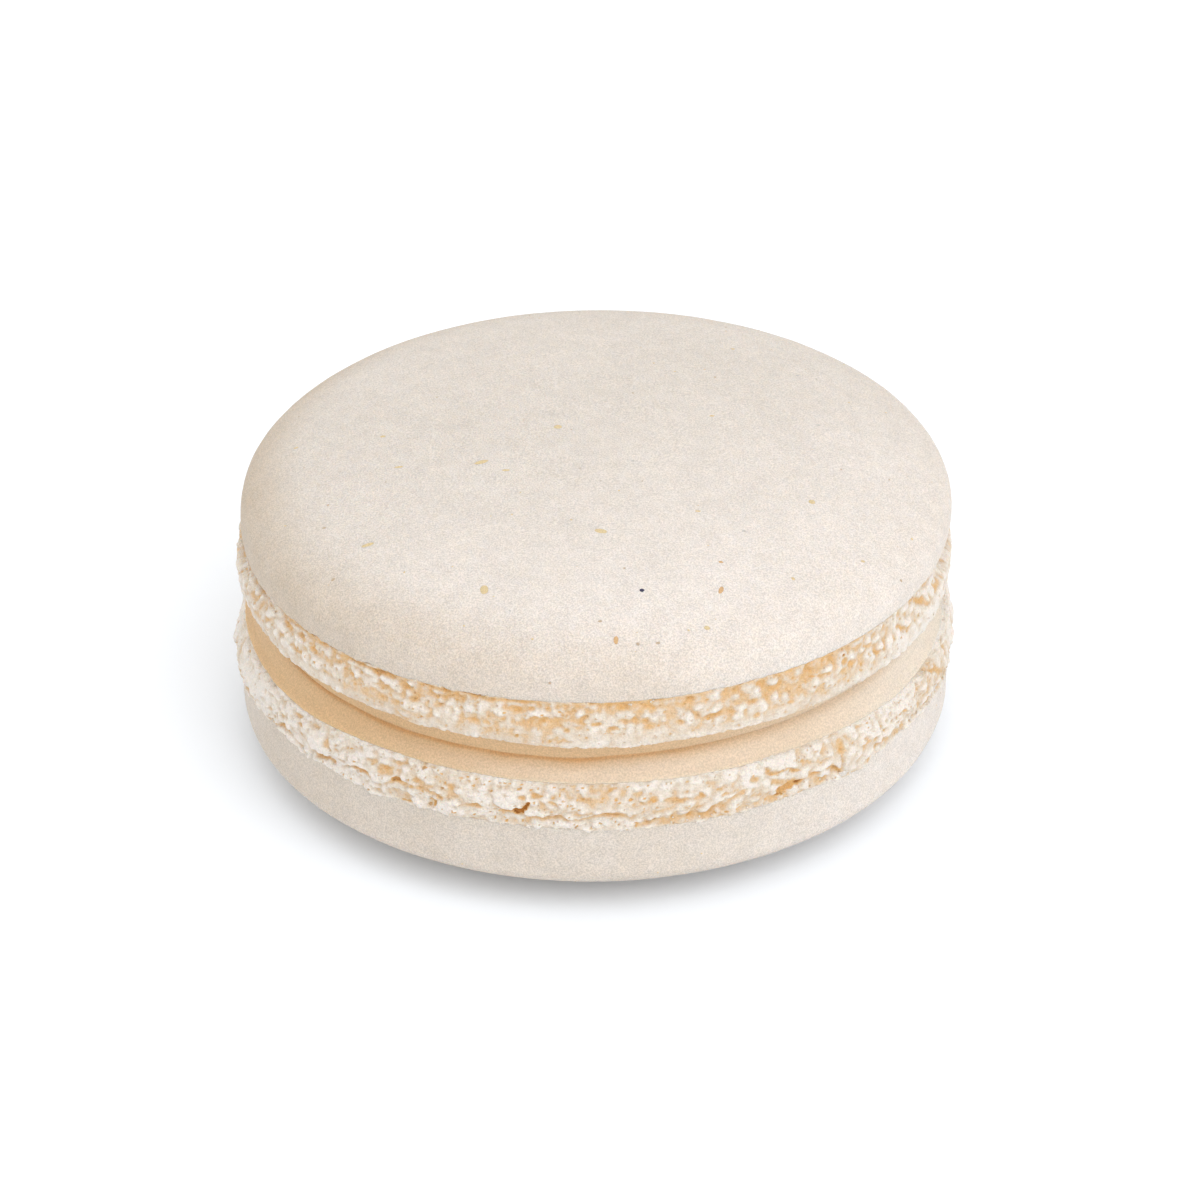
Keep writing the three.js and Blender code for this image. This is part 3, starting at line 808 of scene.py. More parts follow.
# What differs between the two feet. Lengths are millimetres, heights go from the base to the seam, and
# angles are degrees from the front.
#   outline: the foot's profile as (radius, height) points.
#   bends: where the foot swells or sinks: angle, degrees to each side, the heights that it fades in
#     between, and how much wider and deeper it gets.
#   seam: where the foam meets the crust, and flush is how much further it stands out there.
#   calm_until: the foam is smoother up to there, and calm is how rough it still is.
#   torn_from: the foam is torn above it, and torn_share is how much of it.
#   crevice: its depth, and how far it fades out.
#   course: where the crevice runs: angle, height and share of its depth.
#   lumps, hollows: angle, height, half length, half width, rise or depth, and tilt.
#   caves: as the hollows, then how dark the painted shade on its floor is.
#   specks: caves of one shape, and the places that have it.
#   pores: how many, their radius from and to, and how dark the painted shade in the darkest is.
#   pits: how many small caves lie in the fringe by the crust.
#   finely, patchy: how far small dents and broad stains colour the foam.
#   seam_tan_and_shade, lip_pale, right_painted_light, left_pale: how much browner or paler the foam is there.
#   tan_share: 1 for the usual share of tan foam, and less of it above 1.
UPPER_FOOT = {
    "outline": [
        (21.3, 0.0), (22.1, 0.0), (22.3, 0.02), (22.38, 0.22), (22.42, 0.7), (22.37, 1.2),
        (22.26, 1.7), (22.18, 2.2), (22.12, 2.6), (22.06, 2.86), (21.7, 3.0), (21.2, 3.04),
    ],
    "bends": [
        (-90, 40, 1.3, 1.9, -0.4, 0), (-90, 40, 2.0, 2.7, -0.6, 0), (90, 40, 1.3, 1.9, -0.85, 0),
        (-108, 30, -0.5, 0.3, -0.35, 0), (108, 30, -0.5, 0.3, -0.2, 0), (-3, 24, 0.7, 0.0, 0, -0.28),
        (-30, 20, 0.7, 0.0, 0, -0.16), (38, 22, 0.7, 0.0, 0, -0.22), (66, 24, 0.7, 0.0, 0, -0.38),
        (-58, 26, 0.7, 0.0, 0, -0.2), (14, 14, 0.7, 0.0, 0, -0.06),
    ],
    "seam": 2.85,
    "flush": 0.05,
    "calm_until": 1.2,
    "calm": 0.4,
    "torn_from": 1.9,
    "torn_share": 0.6,
    "crevice": (0.16, 0.25),
    "course": [
        (-170, 2.75, 0.5), (-100, 2.8, 0.5), (-60, 2.8, 0.4), (-56, 2.6, 0.3), (-53, 2.8, 0.7),
        (-50, 3.0, 0.3), (-43, 2.95, 0.3), (-40, 2.7, 0.8), (-36, 2.7, 0.9), (-32, 2.9, 0.9),
        (-30, 2.7, 0.6), (-28, 2.95, 0.6), (-26, 2.8, 0.7), (-24, 2.75, 1), (-22, 2.7, 0.6),
        (-20, 2.9, 0.8), (-18, 2.95, 1), (-16.5, 2.65, 0.5), (-13, 2.8, 0.7), (-10, 2.8, 0.3),
        (-8, 2.9, 0.1), (0, 2.9, 0.05), (2, 2.8, 0.2), (9.5, 2.85, 0.4), (12, 2.7, 0.1),
        (14.7, 2.55, 0.8), (16.5, 2.6, 0.1), (22, 3.0, 0.05), (26, 3.1, 0.35), (30, 3.1, 0.1),
        (33, 3.05, 0.5), (36, 2.9, 0.3), (41, 3.0, 0.2), (50, 3.0, 0.5), (56, 3.0, 0.3),
        (75, 2.9, 0.4), (120, 2.8, 0.5),
    ],
    "lumps": [
        (-38.0, 2.78, 0.7, 0.2, 0.22, 0), (-29.0, 2.7, 0.5, 0.2, 0.2, 0),
        (-22.0, 2.82, 0.7, 0.12, 0.2, 0),
    ],
    "pores": [
        (60, 0.09, 0.14, 0), (900, 0.06, 0.1, 0), (260, 0.05, 0.085, 1.2),
    ],
    "pits": 0,
    "hollows": [
        (-67, 2.7, 1.0, 0.3, 0.07, 0.3), (-57, 2.1, 0.8, 0.2, 0.06, 0),
        (-53, 1.1, 0.7, 0.15, 0.05, 0.1), (-52.5, 2.1, 1.0, 0.28, 0.07, 0),
        (-49.5, 1.9, 0.5, 0.22, 0.08, 0), (-47.5, 2.65, 0.6, 0.3, 0.05, 0),
        (-42.5, 2.55, 0.5, 0.25, 0.05, 0), (-40.5, 1.6, 0.25, 0.12, 0.06, 0),
        (-36, 1.3, 0.3, 0.2, 0.04, 0.3), (-34.5, 2.55, 1.1, 0.3, 0.08, 0.08),
        (-30.6, 2.3, 0.5, 0.35, 0.07, 0), (-28, 2.8, 0.4, 0.12, 0.05, -0.2),
        (-24.6, 2.1, 0.18, 0.14, 0.07, 0), (-19.3, 1.1, 0.5, 0.1, 0.035, 0),
        (-18.5, 2.2, 0.5, 0.25, 0.035, 0), (-18, 2.8, 0.6, 0.14, 0.08, 0.1),
        (-16.5, 1.05, 0.35, 0.14, 0.05, 0), (-12.8, 2.15, 0.85, 0.3, 0.06, 0),
        (-11.6, 2.25, 0.2, 0.14, 0.08, 0.2), (-10.8, 2.7, 0.4, 0.1, 0.06, 0.2),
        (-9.7, 2.3, 0.27, 0.24, 0.09, 0), (-8.9, 1.75, 0.3, 0.15, 0.07, 0),
        (-7.8, 1.65, 0.27, 0.27, 0.12, 0), (-5, 0.35, 0.7, 0.1, 0.05, 0),
        (-4.2, 1.0, 0.25, 0.12, 0.08, 0), (-2.3, 2.6, 0.4, 0.18, 0.05, 0),
        (-2.2, 1.5, 0.5, 0.12, 0.05, 0), (0.2, 1.45, 0.45, 0.14, 0.07, 0.15),
        (2.6, 2.7, 0.7, 0.16, 0.08, -0.1), (3.0, 1.2, 0.35, 0.15, 0.07, 0),
        (5.0, 2.45, 0.8, 0.25, 0.06, -0.1), (7.6, 2.2, 1.0, 0.4, 0.05, 0),
        (8, 1.1, 0.4, 0.15, 0.04, 0), (9.3, 2.8, 0.3, 0.1, 0.09, 0), (13, 1.2, 0.3, 0.15, 0.04, 0),
        (13.6, 2.35, 0.8, 0.25, 0.06, 0), (14.7, 2.55, 0.3, 0.07, 0.12, -0.2),
        (18.5, 1.3, 0.3, 0.12, 0.04, 0), (20.5, 3.0, 0.6, 0.16, 0.05, 0),
        (21.3, 1.1, 0.5, 0.2, 0.04, 0.5), (25, 0.65, 0.28, 0.2, 0.07, 0),
        (26, 3.15, 0.5, 0.12, 0.07, 0.1), (28.3, 2.0, 0.7, 0.3, 0.04, 0.5),
        (31, 0.8, 0.28, 0.18, 0.08, -0.2), (31.6, 2.9, 0.6, 0.25, 0.06, 0.3),
        (33.6, 3.0, 0.5, 0.2, 0.09, 0), (34.6, 2.4, 0.4, 0.16, 0.05, -0.9),
        (36.8, 1.85, 0.9, 0.1, 0.09, -0.12), (38.2, 0.9, 0.12, 0.1, 0.08, 0),
        (41.6, 1.9, 0.3, 0.25, 0.09, -0.4), (43, 1.6, 0.5, 0.25, 0.06, -0.5),
        (44.5, 2.8, 0.5, 0.2, 0.05, 0), (47, 2.0, 0.5, 0.2, 0.05, -0.4),
        (49.3, 1.3, 0.7, 0.2, 0.05, -0.2), (49.8, 3.0, 0.3, 0.24, 0.08, 0),
        (51, 2.55, 0.3, 0.15, 0.06, -0.5), (53.7, 3.1, 0.3, 0.15, 0.06, 0),
        (56.5, 1.55, 1.0, 0.18, 0.08, -0.4), (64, 1.7, 1.6, 0.25, 0.08, -0.5),
    ],
    "caves": [
        (-36.2, 2.7, 0.25, 0.07, 0.08, -0.2, 1.2), (-32, 2.85, 0.3, 0.06, 0.08, 0.1, 1.1),
        (-23.7, 2.7, 0.12, 0.07, 0.08, -0.4, 1.6), (-22.9, 2.65, 0.1, 0.06, 0.08, 0, 1.6),
        (-21.7, 2.2, 0.07, 0.06, 0.05, 0, 1.0), (-18.4, 2.95, 0.35, 0.06, 0.1, 0.15, 1.3),
        (-8.05, 1.95, 0.12, 0.07, 0.05, 0.6, 1.1), (35.3, 1.85, 0.25, 0.06, 0.05, 0, 1.05),
        (41.4, 2.3, 0.1, 0.09, 0.13, 0, 2.0),
    ],
    "specks": {},
    "finely": 0.12,
    "patchy": 1.1,
    "seam_tan_and_shade": 0.9,
    "lip_pale": 0.6,
    "right_painted_light": 1.0,
    "left_pale": 0.3,
    "tan_share": 1.0,
}
LOWER_FOOT = {
    "outline": [
        (21.3, -0.04), (21.8, -0.04), (22.02, 0.0), (22.16, 0.2), (22.36, 0.7), (22.54, 1.3),
        (22.62, 1.8), (22.58, 2.15), (22.46, 2.4), (22.44, 2.75), (22.46, 3.0), (22.4, 3.16),
        (22.1, 3.26), (21.6, 3.3),
    ],
    "bends": [
        (-110, 26, -0.5, 0.8, -0.3, 0), (-90, 36, 0.8, 2.0, 0.2, 0.95), (90, 36, 0.8, 2.0, 0.1, 1.0),
        (-92, 26, 1.6, 0.7, -0.45, 0), (-51.7, 4, 1.5, 2.6, 0, 0.3), (-57, 5, 1.5, 2.6, 0, -0.12),
        (-36, 7, 1.5, 2.6, 0, 0.15), (57, 8, 1.5, 2.6, 0, -0.12), (43.5, 6, 1.8, 2.8, 0, 0.4),
        (90, 45, 0.8, 0.0, 0.03, 0.42), (-90, 45, 0.9, 0.0, -0.5, 0.5), (62, 30, 2.2, 0.0, 0, 0.55),
        (-56, 26, 2.2, 0.0, 0, 0.45),
    ],
    "seam": 3.12,
    "flush": 0.05,
    "calm_until": 0.5,
    "calm": 0.5,
    "torn_from": 1.9,
    "torn_share": 0.35,
    "crevice": (0.2, 0.4),
    "course": [
        (-150, 2.36, 0.8), (-90, 2.58, 0.8), (-62, 3.01, 0.6), (-57, 2.64, 0.7), (-53, 2.75, 0.7),
        (-51, 3.11, 0.4), (-49, 2.75, 0.6), (-46, 2.47, 0.8), (-43.5, 2.69, 0.3), (-41, 2.01, 0.7),
        (-39, 1.85, 1), (-37, 1.96, 0.8), (-35.5, 2.47, 0.4), (-34, 2.13, 0.5), (-32, 1.62, 0.9),
        (-28, 1.67, 0.6), (-25, 1.76, 0.7), (-24, 2.13, 0.8), (-22, 2.36, 0.15), (-20, 2.24, 0.6),
        (-18.5, 1.9, 0.8), (-17, 2.07, 0.8), (-15, 2.19, 0.7), (-13, 2.13, 1), (-10, 2.36, 0.5),
        (-8, 2.47, 0.5), (-5.5, 2.3, 0.8), (-4, 2.47, 0.7), (-2, 2.3, 0.9), (0, 1.9, 0.9),
        (1.5, 1.85, 0.9), (3, 2.13, 0.8), (4.5, 2.13, 0.8), (6, 2.75, 0.8), (7.5, 2.86, 0.7),
        (9, 2.58, 0.6), (11, 2.69, 0.2), (14, 2.58, 0.4), (17, 2.69, 0.3), (20, 1.81, 0.3),
        (23, 1.9, 0.5), (25, 2.36, 0.3), (28, 2.13, 0.3), (34, 2.13, 0.3), (38, 2.01, 0.6),
        (40, 2.41, 0.9), (42, 3.01, 0.8), (45, 3.11, 0.3), (50, 2.36, 0.6), (53, 2.81, 0.3),
        (60, 2.81, 0.5), (75, 2.36, 0.7), (120, 2.36, 0.8),
    ],
    "lumps": [
        (31.0, 1.5, 1.1, 0.28, 0.16, 0.25), (31.5, 2.5, 0.2, 0.16, 0.2, 0),
        (-36.0, 2.2, 0.7, 0.5, 0.12, 0), (-28.0, 2.2, 0.9, 0.4, 0.12, 0), (2.0, 1.3, 1.4, 0.5, 0.1, 0),
        (-4.0, 2.7, 1.0, 0.25, 0.12, 0),
    ],
    "pores": [
        (60, 0.09, 0.14, 0), (450, 0.06, 0.1, 0), (300, 0.05, 0.085, 1.2),
    ],
    "pits": 110,
    "hollows": [
        (-63, 2.24, 1.0, 0.2, 0.05, -0.5), (-58.5, 2.69, 0.8, 0.15, 0.06, -0.2),
        (-54, 0.57, 0.5, 0.2, 0.04, 0), (-53, 1.17, 0.4, 0.2, 0.05, 0),
        (-47, 2.53, 0.8, 0.12, 0.08, -0.4), (-46.5, 1.34, 0.5, 0.35, 0.06, 0.2),
        (-39, 1.85, 0.75, 0.2, 0.09, 0), (-34.5, 1.43, 0.5, 0.3, 0.05, 0),
        (-33.5, 1.21, 0.75, 0.42, 0.07, 0.1), (-28.6, 1.34, 0.3, 0.15, 0.06, 0),
        (-24.2, 1.96, 0.3, 0.3, 0.09, 0.6), (-22.7, 1.09, 0.22, 0.26, 0.08, -0.3),
        (-21, 0.43, 0.2, 0.14, 0.08, -0.2), (-18.7, 2.07, 0.7, 0.22, 0.05, 0),
        (-15.5, 0.91, 0.18, 0.14, 0.04, 0), (-14, 1.0, 0.28, 0.2, 0.05, 0),
        (-11.3, 1.09, 0.35, 0.22, 0.08, -0.1), (-9.3, 1.0, 0.35, 0.2, 0.09, 0),
        (-8.2, 1.34, 0.35, 0.2, 0.06, 0.4), (-6.6, 1.34, 0.4, 0.15, 0.07, 0.2),
        (-2, 2.01, 0.8, 0.18, 0.05, -0.3), (2.1, 0.45, 0.35, 0.12, 0.1, -0.6),
        (2.8, 1.96, 0.8, 0.2, 0.05, 0.1), (9.0, 1.21, 0.35, 0.22, 0.07, 0),
        (12.3, 1.34, 0.75, 0.22, 0.06, 0), (16.2, 1.3, 0.35, 0.16, 0.08, 0.7),
        (20.4, 1.62, 0.6, 0.13, 0.07, 0), (23, 1.71, 0.45, 0.16, 0.08, -0.2),
        (25.2, 1.09, 0.45, 0.4, 0.06, -0.2), (27.3, 0.66, 0.4, 0.25, 0.04, 0),
        (28.8, 1.04, 0.85, 0.12, 0.1, 0.1), (28.8, 1.62, 1.0, 0.25, 0.06, 0.5),
        (30.8, 2.13, 1.1, 0.3, 0.1, -0.1), (31.6, 1.26, 0.7, 0.11, 0.11, 0.5),
        (33.5, 0.96, 0.32, 0.13, 0.08, 0.2), (36, 2.13, 0.4, 0.2, 0.04, 0),
        (36.3, 0.61, 0.2, 0.1, 0.07, 0), (38.6, 2.13, 0.5, 0.15, 0.07, 0),
        (40.3, 2.47, 0.6, 0.14, 0.1, 0.6), (41, 1.0, 0.4, 0.6, 0.09, 0),
        (46, 0.33, 0.5, 0.15, 0.05, 0.3), (46.5, 1.76, 0.5, 0.16, 0.07, 0),
        (51, 2.36, 0.35, 0.16, 0.1, 0), (52, 1.09, 0.3, 0.2, 0.04, 0),
        (57.5, 1.62, 0.8, 0.14, 0.08, 0.6), (62, 2.24, 0.6, 0.15, 0.05, 0.5),
        (70, 1.34, 1.6, 0.25, 0.09, 0.5),
    ],
    "caves": [
        (-38.8, 1.85, 0.3, 0.08, 0.07, 0, 1.1), (-31.8, 1.64, 0.38, 0.13, 0.11, -0.25, 1.5),
        (-29.9, 3.01, 0.4, 0.06, 0.07, -0.1, 1.2), (-26, 2.41, 0.16, 0.08, 0.07, 0, 1.25),
        (-25.3, 2.64, 0.22, 0.09, 0.08, -1.4, 1.35), (-22.2, 2.81, 0.16, 0.06, 0.07, -1.5, 1.2),
        (-11.75, 2.08, 0.42, 0.32, 0.15, -0.35, 1.9), (-10.65, 1.62, 0.4, 0.15, 0.13, -0.95, 1.9),
        (-6.5, 2.81, 0.17, 0.06, 0.07, -1.2, 1.2), (-3, 2.9, 0.17, 0.06, 0.07, -0.9, 1.2),
        (-2, 0.96, 0.08, 0.08, 0.07, 0, 1.25), (0.6, 2.69, 0.17, 0.06, 0.07, 0.7, 1.2),
        (2.1, 0.45, 0.2, 0.06, 0.04, -0.6, 1.0), (2.9, 2.64, 0.17, 0.06, 0.07, 1.0, 1.2),
        (5.2, 1.1, 0.16, 0.1, 0.07, 0, 1.15), (6, 2.83, 0.17, 0.06, 0.07, 0.6, 1.2),
        (7.3, 1.04, 0.12, 0.08, 0.07, -0.3, 1.15), (8.7, 2.62, 0.17, 0.06, 0.07, -0.5, 1.2),
        (8.8, 1.32, 0.12, 0.08, 0.07, 0, 1.2), (11.7, 2.69, 0.17, 0.06, 0.07, 1.0, 1.2),
        (14.2, 2.64, 0.17, 0.06, 0.07, -0.5, 1.2), (16.1, 1.26, 0.16, 0.07, 0.05, 0.8, 1.05),
        (18.3, 2.83, 0.17, 0.06, 0.07, 0.8, 1.2), (20.2, 2.92, 0.17, 0.06, 0.07, 0.3, 1.2),
        (29.3, 2.75, 0.5, 0.09, 0.11, -0.05, 1.5), (30.4, 2.35, 0.8, 0.3, 0.12, -0.2, 1.3),
        (32.7, 2.28, 0.34, 0.2, 0.15, -0.2, 1.9), (40.4, 2.53, 0.45, 0.09, 0.1, 0.65, 1.25),
        (51, 2.36, 0.22, 0.1, 0.07, 0, 1.15),
    ],
    "specks": {
        (0.1, 0.07, 0.07, -1.2, 1.15): [
            (-47.5, 3.06), (-42.8, 3.11), (-41.2, 3.13), (-38.7, 3.06), (-37.3, 3.06), (-18.8, 2.81),
            (-16.2, 2.41), (-15.6, 2.81), (-13.8, 2.92), (-11.3, 2.81),
        ],
        (0.09, 0.07, 0.04, -0.3, 1.15): [
            (-41.2, 0.78), (-27, 0.29), (-25, 0.25), (-24.3, 0.41), (-23.5, 0.91), (-20, 0.29),
            (-19, 0.78), (-18.7, 0.33), (-17.3, 0.57), (-16.5, 0.33), (-14.8, 0.29), (-14, 0.25),
            (-13.2, 0.25), (-12, 0.57), (-11.4, 0.25), (-10, 0.57), (-8.9, 0.45), (-8.3, 0.91),
            (-6.5, 1.0), (-6.4, 0.25), (-5.5, 0.78), (-5, 0.37), (-3.5, 1.57), (-2.8, 0.41),
            (-2.5, 1.62), (1, 0.91), (3.5, 1.26), (4.8, 0.25), (8, 0.25), (11.5, 0.25),
        ],
    },
    "finely": 0.03,
    "patchy": 1.5,
    "seam_tan_and_shade": 0.2,
    "lip_pale": 0.4,
    "right_painted_light": 0.0,
    "left_pale": 0.5,
    "tan_share": 1.5,
}


# Random lumps of both feet: how many, their half length from and to in millimetres, and their rise as a
# share of the largest.
RANDOM_LUMPS = ((380, 0.45, 0.9, 0.8), (1500, 0.22, 0.45, 0.6))
PIT_SPAN = (2.55, 2.95)  # the heights between which the fringe's pits lie
# PIT_SHADE is the painted shade that darkens the pits.
PIT_DEPTH, PIT_SHADE = 0.2, 1.15  # and how deep and dark they are


def grow_lumps(strip, foot, kind):
    """Covers the strip in random lumps, and adds the foot's own large ones."""
    start, random = kind["start"], strip.random
    for number, smallest, largest, rise in RANDOM_LUMPS:
        for x, y in strip.scatter(number, start, strip.y[-1]):
            radius = random.uniform(smallest, largest) * MM
            squashed = radius / random.uniform(1, 1.3)
            strip.grow_lump(x, y, radius, squashed, foot.lump_rise * rise * random.uniform(0.4, 1.1))
    for angle, y, half_length, half_width, rise, tilt in kind["lumps"]:
        place = strip.place(angle), start + y * MM
        strip.grow_lump(*place, half_length * MM, half_width * MM, rise * MM, tilt)


def sink_holes(strip, foot, kind, unseen):
    """Sinks the random pits and pores, and the foot's own hollows and caves."""
    start, random = kind["start"], strip.random
    for x, y in strip.scatter(kind["pits"], start + PIT_SPAN[0] * MM, start + PIT_SPAN[1] * MM):
        half_length = random.uniform(0.1, 0.2) * MM
        if unseen[int(x / strip.step), 0] > 0.2:
            half_width, tilt = random.uniform(0.05, 0.08) * MM, random.normal(0.9, 0.3)
            strip.sink_hole(x, y, half_length, half_width, PIT_DEPTH * MM, tilt, PIT_SHADE)
    for number, smallest, largest, darkest in kind["pores"]:
        for x, y in strip.scatter(number, start + 0.2 * MM, strip.y[-1]):
            radius = random.uniform(smallest, largest) * MM
            stretch = random.uniform(0.9, 1.5)
            depth = foot.pore_depth * radius * random.uniform(0.4, 0.9)
            shade = darkest * random.uniform(0.7, 1)
            strip.sink_hole(x, y, radius * stretch, radius, depth, random.normal(0, 0.5), shade)
    specks = [(*place, *shape) for shape, places in kind["specks"].items() for place in places]
    for angle, y, half_length, half_width, depth, tilt, *shade in kind["hollows"] + kind["caves"] + specks:
        place = strip.place(angle), start + y * MM
        strip.sink_hole(*place, half_length * MM, half_width * MM, depth * MM, tilt, *shade)


STRETCH = (0.6, 0.6, 1.0)  # tears and stains are wider than they are high


def torn_share(strip, kind, level, unseen):
    """How torn the foam is at each vertex, from 0 to 1. It is more torn near the seam, and out of sight."""
    tearing = layered_noise(strip.points * STRETCH, 0.9 * MM, strip.seed + 3, 4)
    bias = smooth_step(level, kind["torn_from"] - 0.9, kind["torn_from"] + 0.5)
    torn = smooth_step(tearing + (bias - 1) + 0.6 * (kind["torn_share"] - 0.5), -0.05, 0.3)
    return torn * (0.35 + 0.65 * unseen)


# The windows in which a vertex is compared with the foam about it: columns and rows to each side.
DENT_WINDOWS = ((2, 3), (4, 6), (8, 14))


def shape_foam(strip, foot, kind, way):
    """Works the lumps, tears and bubbles of one foot into the strip. Gives its height at each vertex, how
    deep in a hollow each lies, which colours it, and how many crumbs lie there."""
    start, end, seed = kind["start"], strip.y[-1], strip.seed
    level = (strip.y - start) / MM
    unseen = smooth_step(np.abs(strip.turns), 52, 72)
    grow_lumps(strip, foot, kind)
    sink_holes(strip, foot, kind, unseen)
    torn = torn_share(strip, kind, level, unseen)
    rough = 1 + 0.5 * layered_noise(strip.points, 0.3 * MM, seed + 9)
    deepest, fade = kind["crevice"]
    crevice = rough * strip.crevice(kind["course"], start, deepest * MM, fade * MM, way, seed + 20)
    holes = rough * strip.holes

    calm_ramp = smooth_step(level, kind["calm_until"] - 0.7, kind["calm_until"] + 0.2)[None, :]
    calm = kind["calm"] + (1 - kind["calm"]) * calm_ramp
    by_crust = smooth_step(level, kind["seam"] - 0.35, kind["seam"] - 0.05)[None, :]
    broad = 0.09 * MM * layered_noise(strip.points, 5 * MM, seed + 1, 2)
    billows = [np.abs(soft_noise(strip.points, size * MM, seed + 2)) for size in (0.5, 0.24)]
    fine = 0.13 * MM * (billows[0] + 0.7 * billows[1] - 0.45) * calm
    leaves = 0.05 * MM * layered_noise(strip.points * (0.14, 0.14, 1), 0.17 * MM, seed + 6, 2)
    leaves = leaves * (1 - calm_ramp)
    lumps = 0.4 * strip.height + 0.6 * blurred(strip.height, 1, 1)
    lumps = (lumps - 0.45 * foot.lump_rise) * calm * (1 - 0.45 * torn)
    ragged = 0.06 * MM * layered_noise(strip.points, 0.5 * MM, seed + 4, 4)
    height = broad + lumps * (1 - 0.45 * by_crust) + fine + leaves - 0.1 * MM * torn + ragged * by_crust
    height = height + kind["flush"] * MM * by_crust - crevice - holes
    hidden = smooth_step(level, kind["seam"] + 0.05, (end - start) / MM)[None, :]
    open_edge = smooth_step(strip.y, start - 0.35 * MM, start + 0.1 * MM)[None, :]
    height = height * (1 - hidden) * open_edge

    # Painted shade: the colour's depth grows under overhangs, in dents, the crevice and holes, over torn
    # foam and stains.
    measures = [strip.overhung(height, way)]
    measures += [blurred(height, *window) - height for window in DENT_WINDOWS]
    shown = (level > 0.2) & (level < kind["seam"])
    overhung, small, middling, large = [measure / measure[:, shown].std() for measure in measures]
    stain = layered_noise(strip.points * STRETCH, 1.8 * MM, seed + 5, 4) * (0.8 + 0.2 * unseen)
    depth = 0.2 * overhung + kind["finely"] * small + 0.4 * middling + 0.35 * large + 0.4 * torn
    depth += kind["patchy"] * stain
    depth = 0.2 * depth + 0.8 * blurred(depth, 1, 2)
    depth += 5.0 * crevice / MM + 2.2 * (holes / (0.1 * MM)).clip(0, 1.1)
    # By the seam the foam is browner: partly torn foam, partly painted shade under the crust's edge.
    depth += kind["seam_tan_and_shade"] * by_crust - kind["lip_pale"] * smooth_step(level, 0.6, 0.1)[None, :]
    # Painted light: the foam is paler on its lit right side.
    depth -= kind["right_painted_light"] * smooth_step(strip.turns, 35, 60)
    depth -= kind["left_pale"] * smooth_step(-strip.turns, 20, 45)
    ordered = np.sort(depth[:, shown], axis=None)
    hollow = (np.searchsorted(ordered, depth) / len(ordered)) ** kind["tan_share"]
    # Painted shade on the floors of the caves, pits and dark pores.
    hollow = np.maximum(hollow, strip.shade)

    fringe = smooth_step(np.abs(level - kind["seam"] + 0.1), 0.4, 0.1)
    lip = smooth_step(np.abs(level - 0.1), 0.3, 0.05)
    patches = smooth_step(layered_noise(strip.ring, 2.5 * MM, seed + 8), -0.4, 0.6)
    return height, hollow, (fringe + 0.5 * lip)[None, :] * patches


def bent(radii, heights, level, angles, bends):
    """The radii and heights of a foot's vertices, where it swells and sinks."""
    for angle, reach, low, high, wider, deeper in bends:
        apart = np.degrees(np.abs((angles - math.radians(angle) + math.pi) % (2 * math.pi) - math.pi))
        share = smooth_step(apart, reach, 0) * smooth_step(level, low * MM, high * MM)
        radii = radii + wider * MM * share
        heights = heights + deeper * MM * share
    return radii, heights


def ring_mesh(name, radii, heights, way):
    """A closed ring through the (turn, row) arrays of radii and heights over the table. way is -1 where
    the rows run downwards outside."""
    rounds, rows = radii.shape
    angles = (np.arange(rounds) * 2 * math.pi / rounds)[:, None]
    positions = np.stack([radii * np.sin(angles), -radii * np.cos(angles), heights], axis=-1)
    ring, row = np.meshgrid(np.arange(rounds), np.arange(rows), indexing="ij")
    next_ring, next_row = (ring + 1) % rounds * rows, (row + 1) % rows
    corners = (ring * rows + row, next_ring + row, next_ring + next_row, ring * rows + next_row)
    faces = np.stack(corners, axis=-1).reshape(-1, 4)
    return mesh_from_arrays(name, positions.reshape(-1, 3), faces[:, ::way])


def make_foot(name, settings, shell, kind, way, seed):
    """One foot: a closed ring whose outer side is torn foam. way is 1 where its base is below its crust."""
    foot = settings.foot
    outline = np.array(kind["outline"]) * MM
    shown_to = (kind["seam"] + 0.05) * MM
    outline, along = smooth_line(outline, foot.row_step, 4 * foot.row_step, 0.01 * MM, shown_to)
    kind = dict(kind, start=along[np.argmax(outline[:, 1] > 0.05 * MM)])
    strip = FoamStrip(foot.rounds, along, shell.shoulder_radius, seed)
    height, hollow, crumbly = shape_foam(strip, foot, kind, way)

    tangent = np.gradient(outline, along, axis=0)
    tangent /= np.hypot(*tangent.T)[:, None]
    outward = np.column_stack([tangent[:, 1], -tangent[:, 0]])
    radii = outline[None, :, 0] + height * outward[None, :, 0]
    heights = outline[None, :, 1] + height * outward[None, :, 1]
    angles = (np.arange(foot.rounds) * 2 * math.pi / foot.rounds)[:, None]
    level = outline[None, :, 1]
    by_seam = smooth_step(level, 1.2 * MM, 2.8 * MM) * np.sin(angles)
    radii = radii + shell.shift * by_seam
    heights = heights + shell.lean * shell.lip_radius * by_seam
    radii, heights = bent(radii, heights, level, angles, kind["bends"])

    teeth = layered_noise(strip.points * (1, 1, 0.4), 0.27 * MM, seed + 7)
    by_lip = smooth_step(along, kind["start"] + 0.5 * MM, kind["start"])
    by_lip = by_lip * smooth_step(along, 0.3 * MM, 0.8 * MM)
    radii = radii + foot.teeth * teeth * by_lip[None, :]
    heights = heights + foot.teeth * np.abs(teeth) * by_lip[None, :]

    # Two more rows close the ring on its inner side.
    extra = (foot.rounds, 2)
    radii = np.hstack([radii, np.full(extra, outline[:, 0].min() - 0.9 * MM)])
    heights = np.hstack([heights, np.broadcast_to([outline[-1, 1], 0], extra)])
    mesh = ring_mesh(name, radii, shell.base_level + way * heights, way)
    for label, values, inner in (("hollow", hollow, 1), ("crumbly", crumbly, 0)):
        add_attribute(mesh, label, "FLOAT", np.hstack([values, np.full(extra, inner)]))
    return add_object(name, mesh)


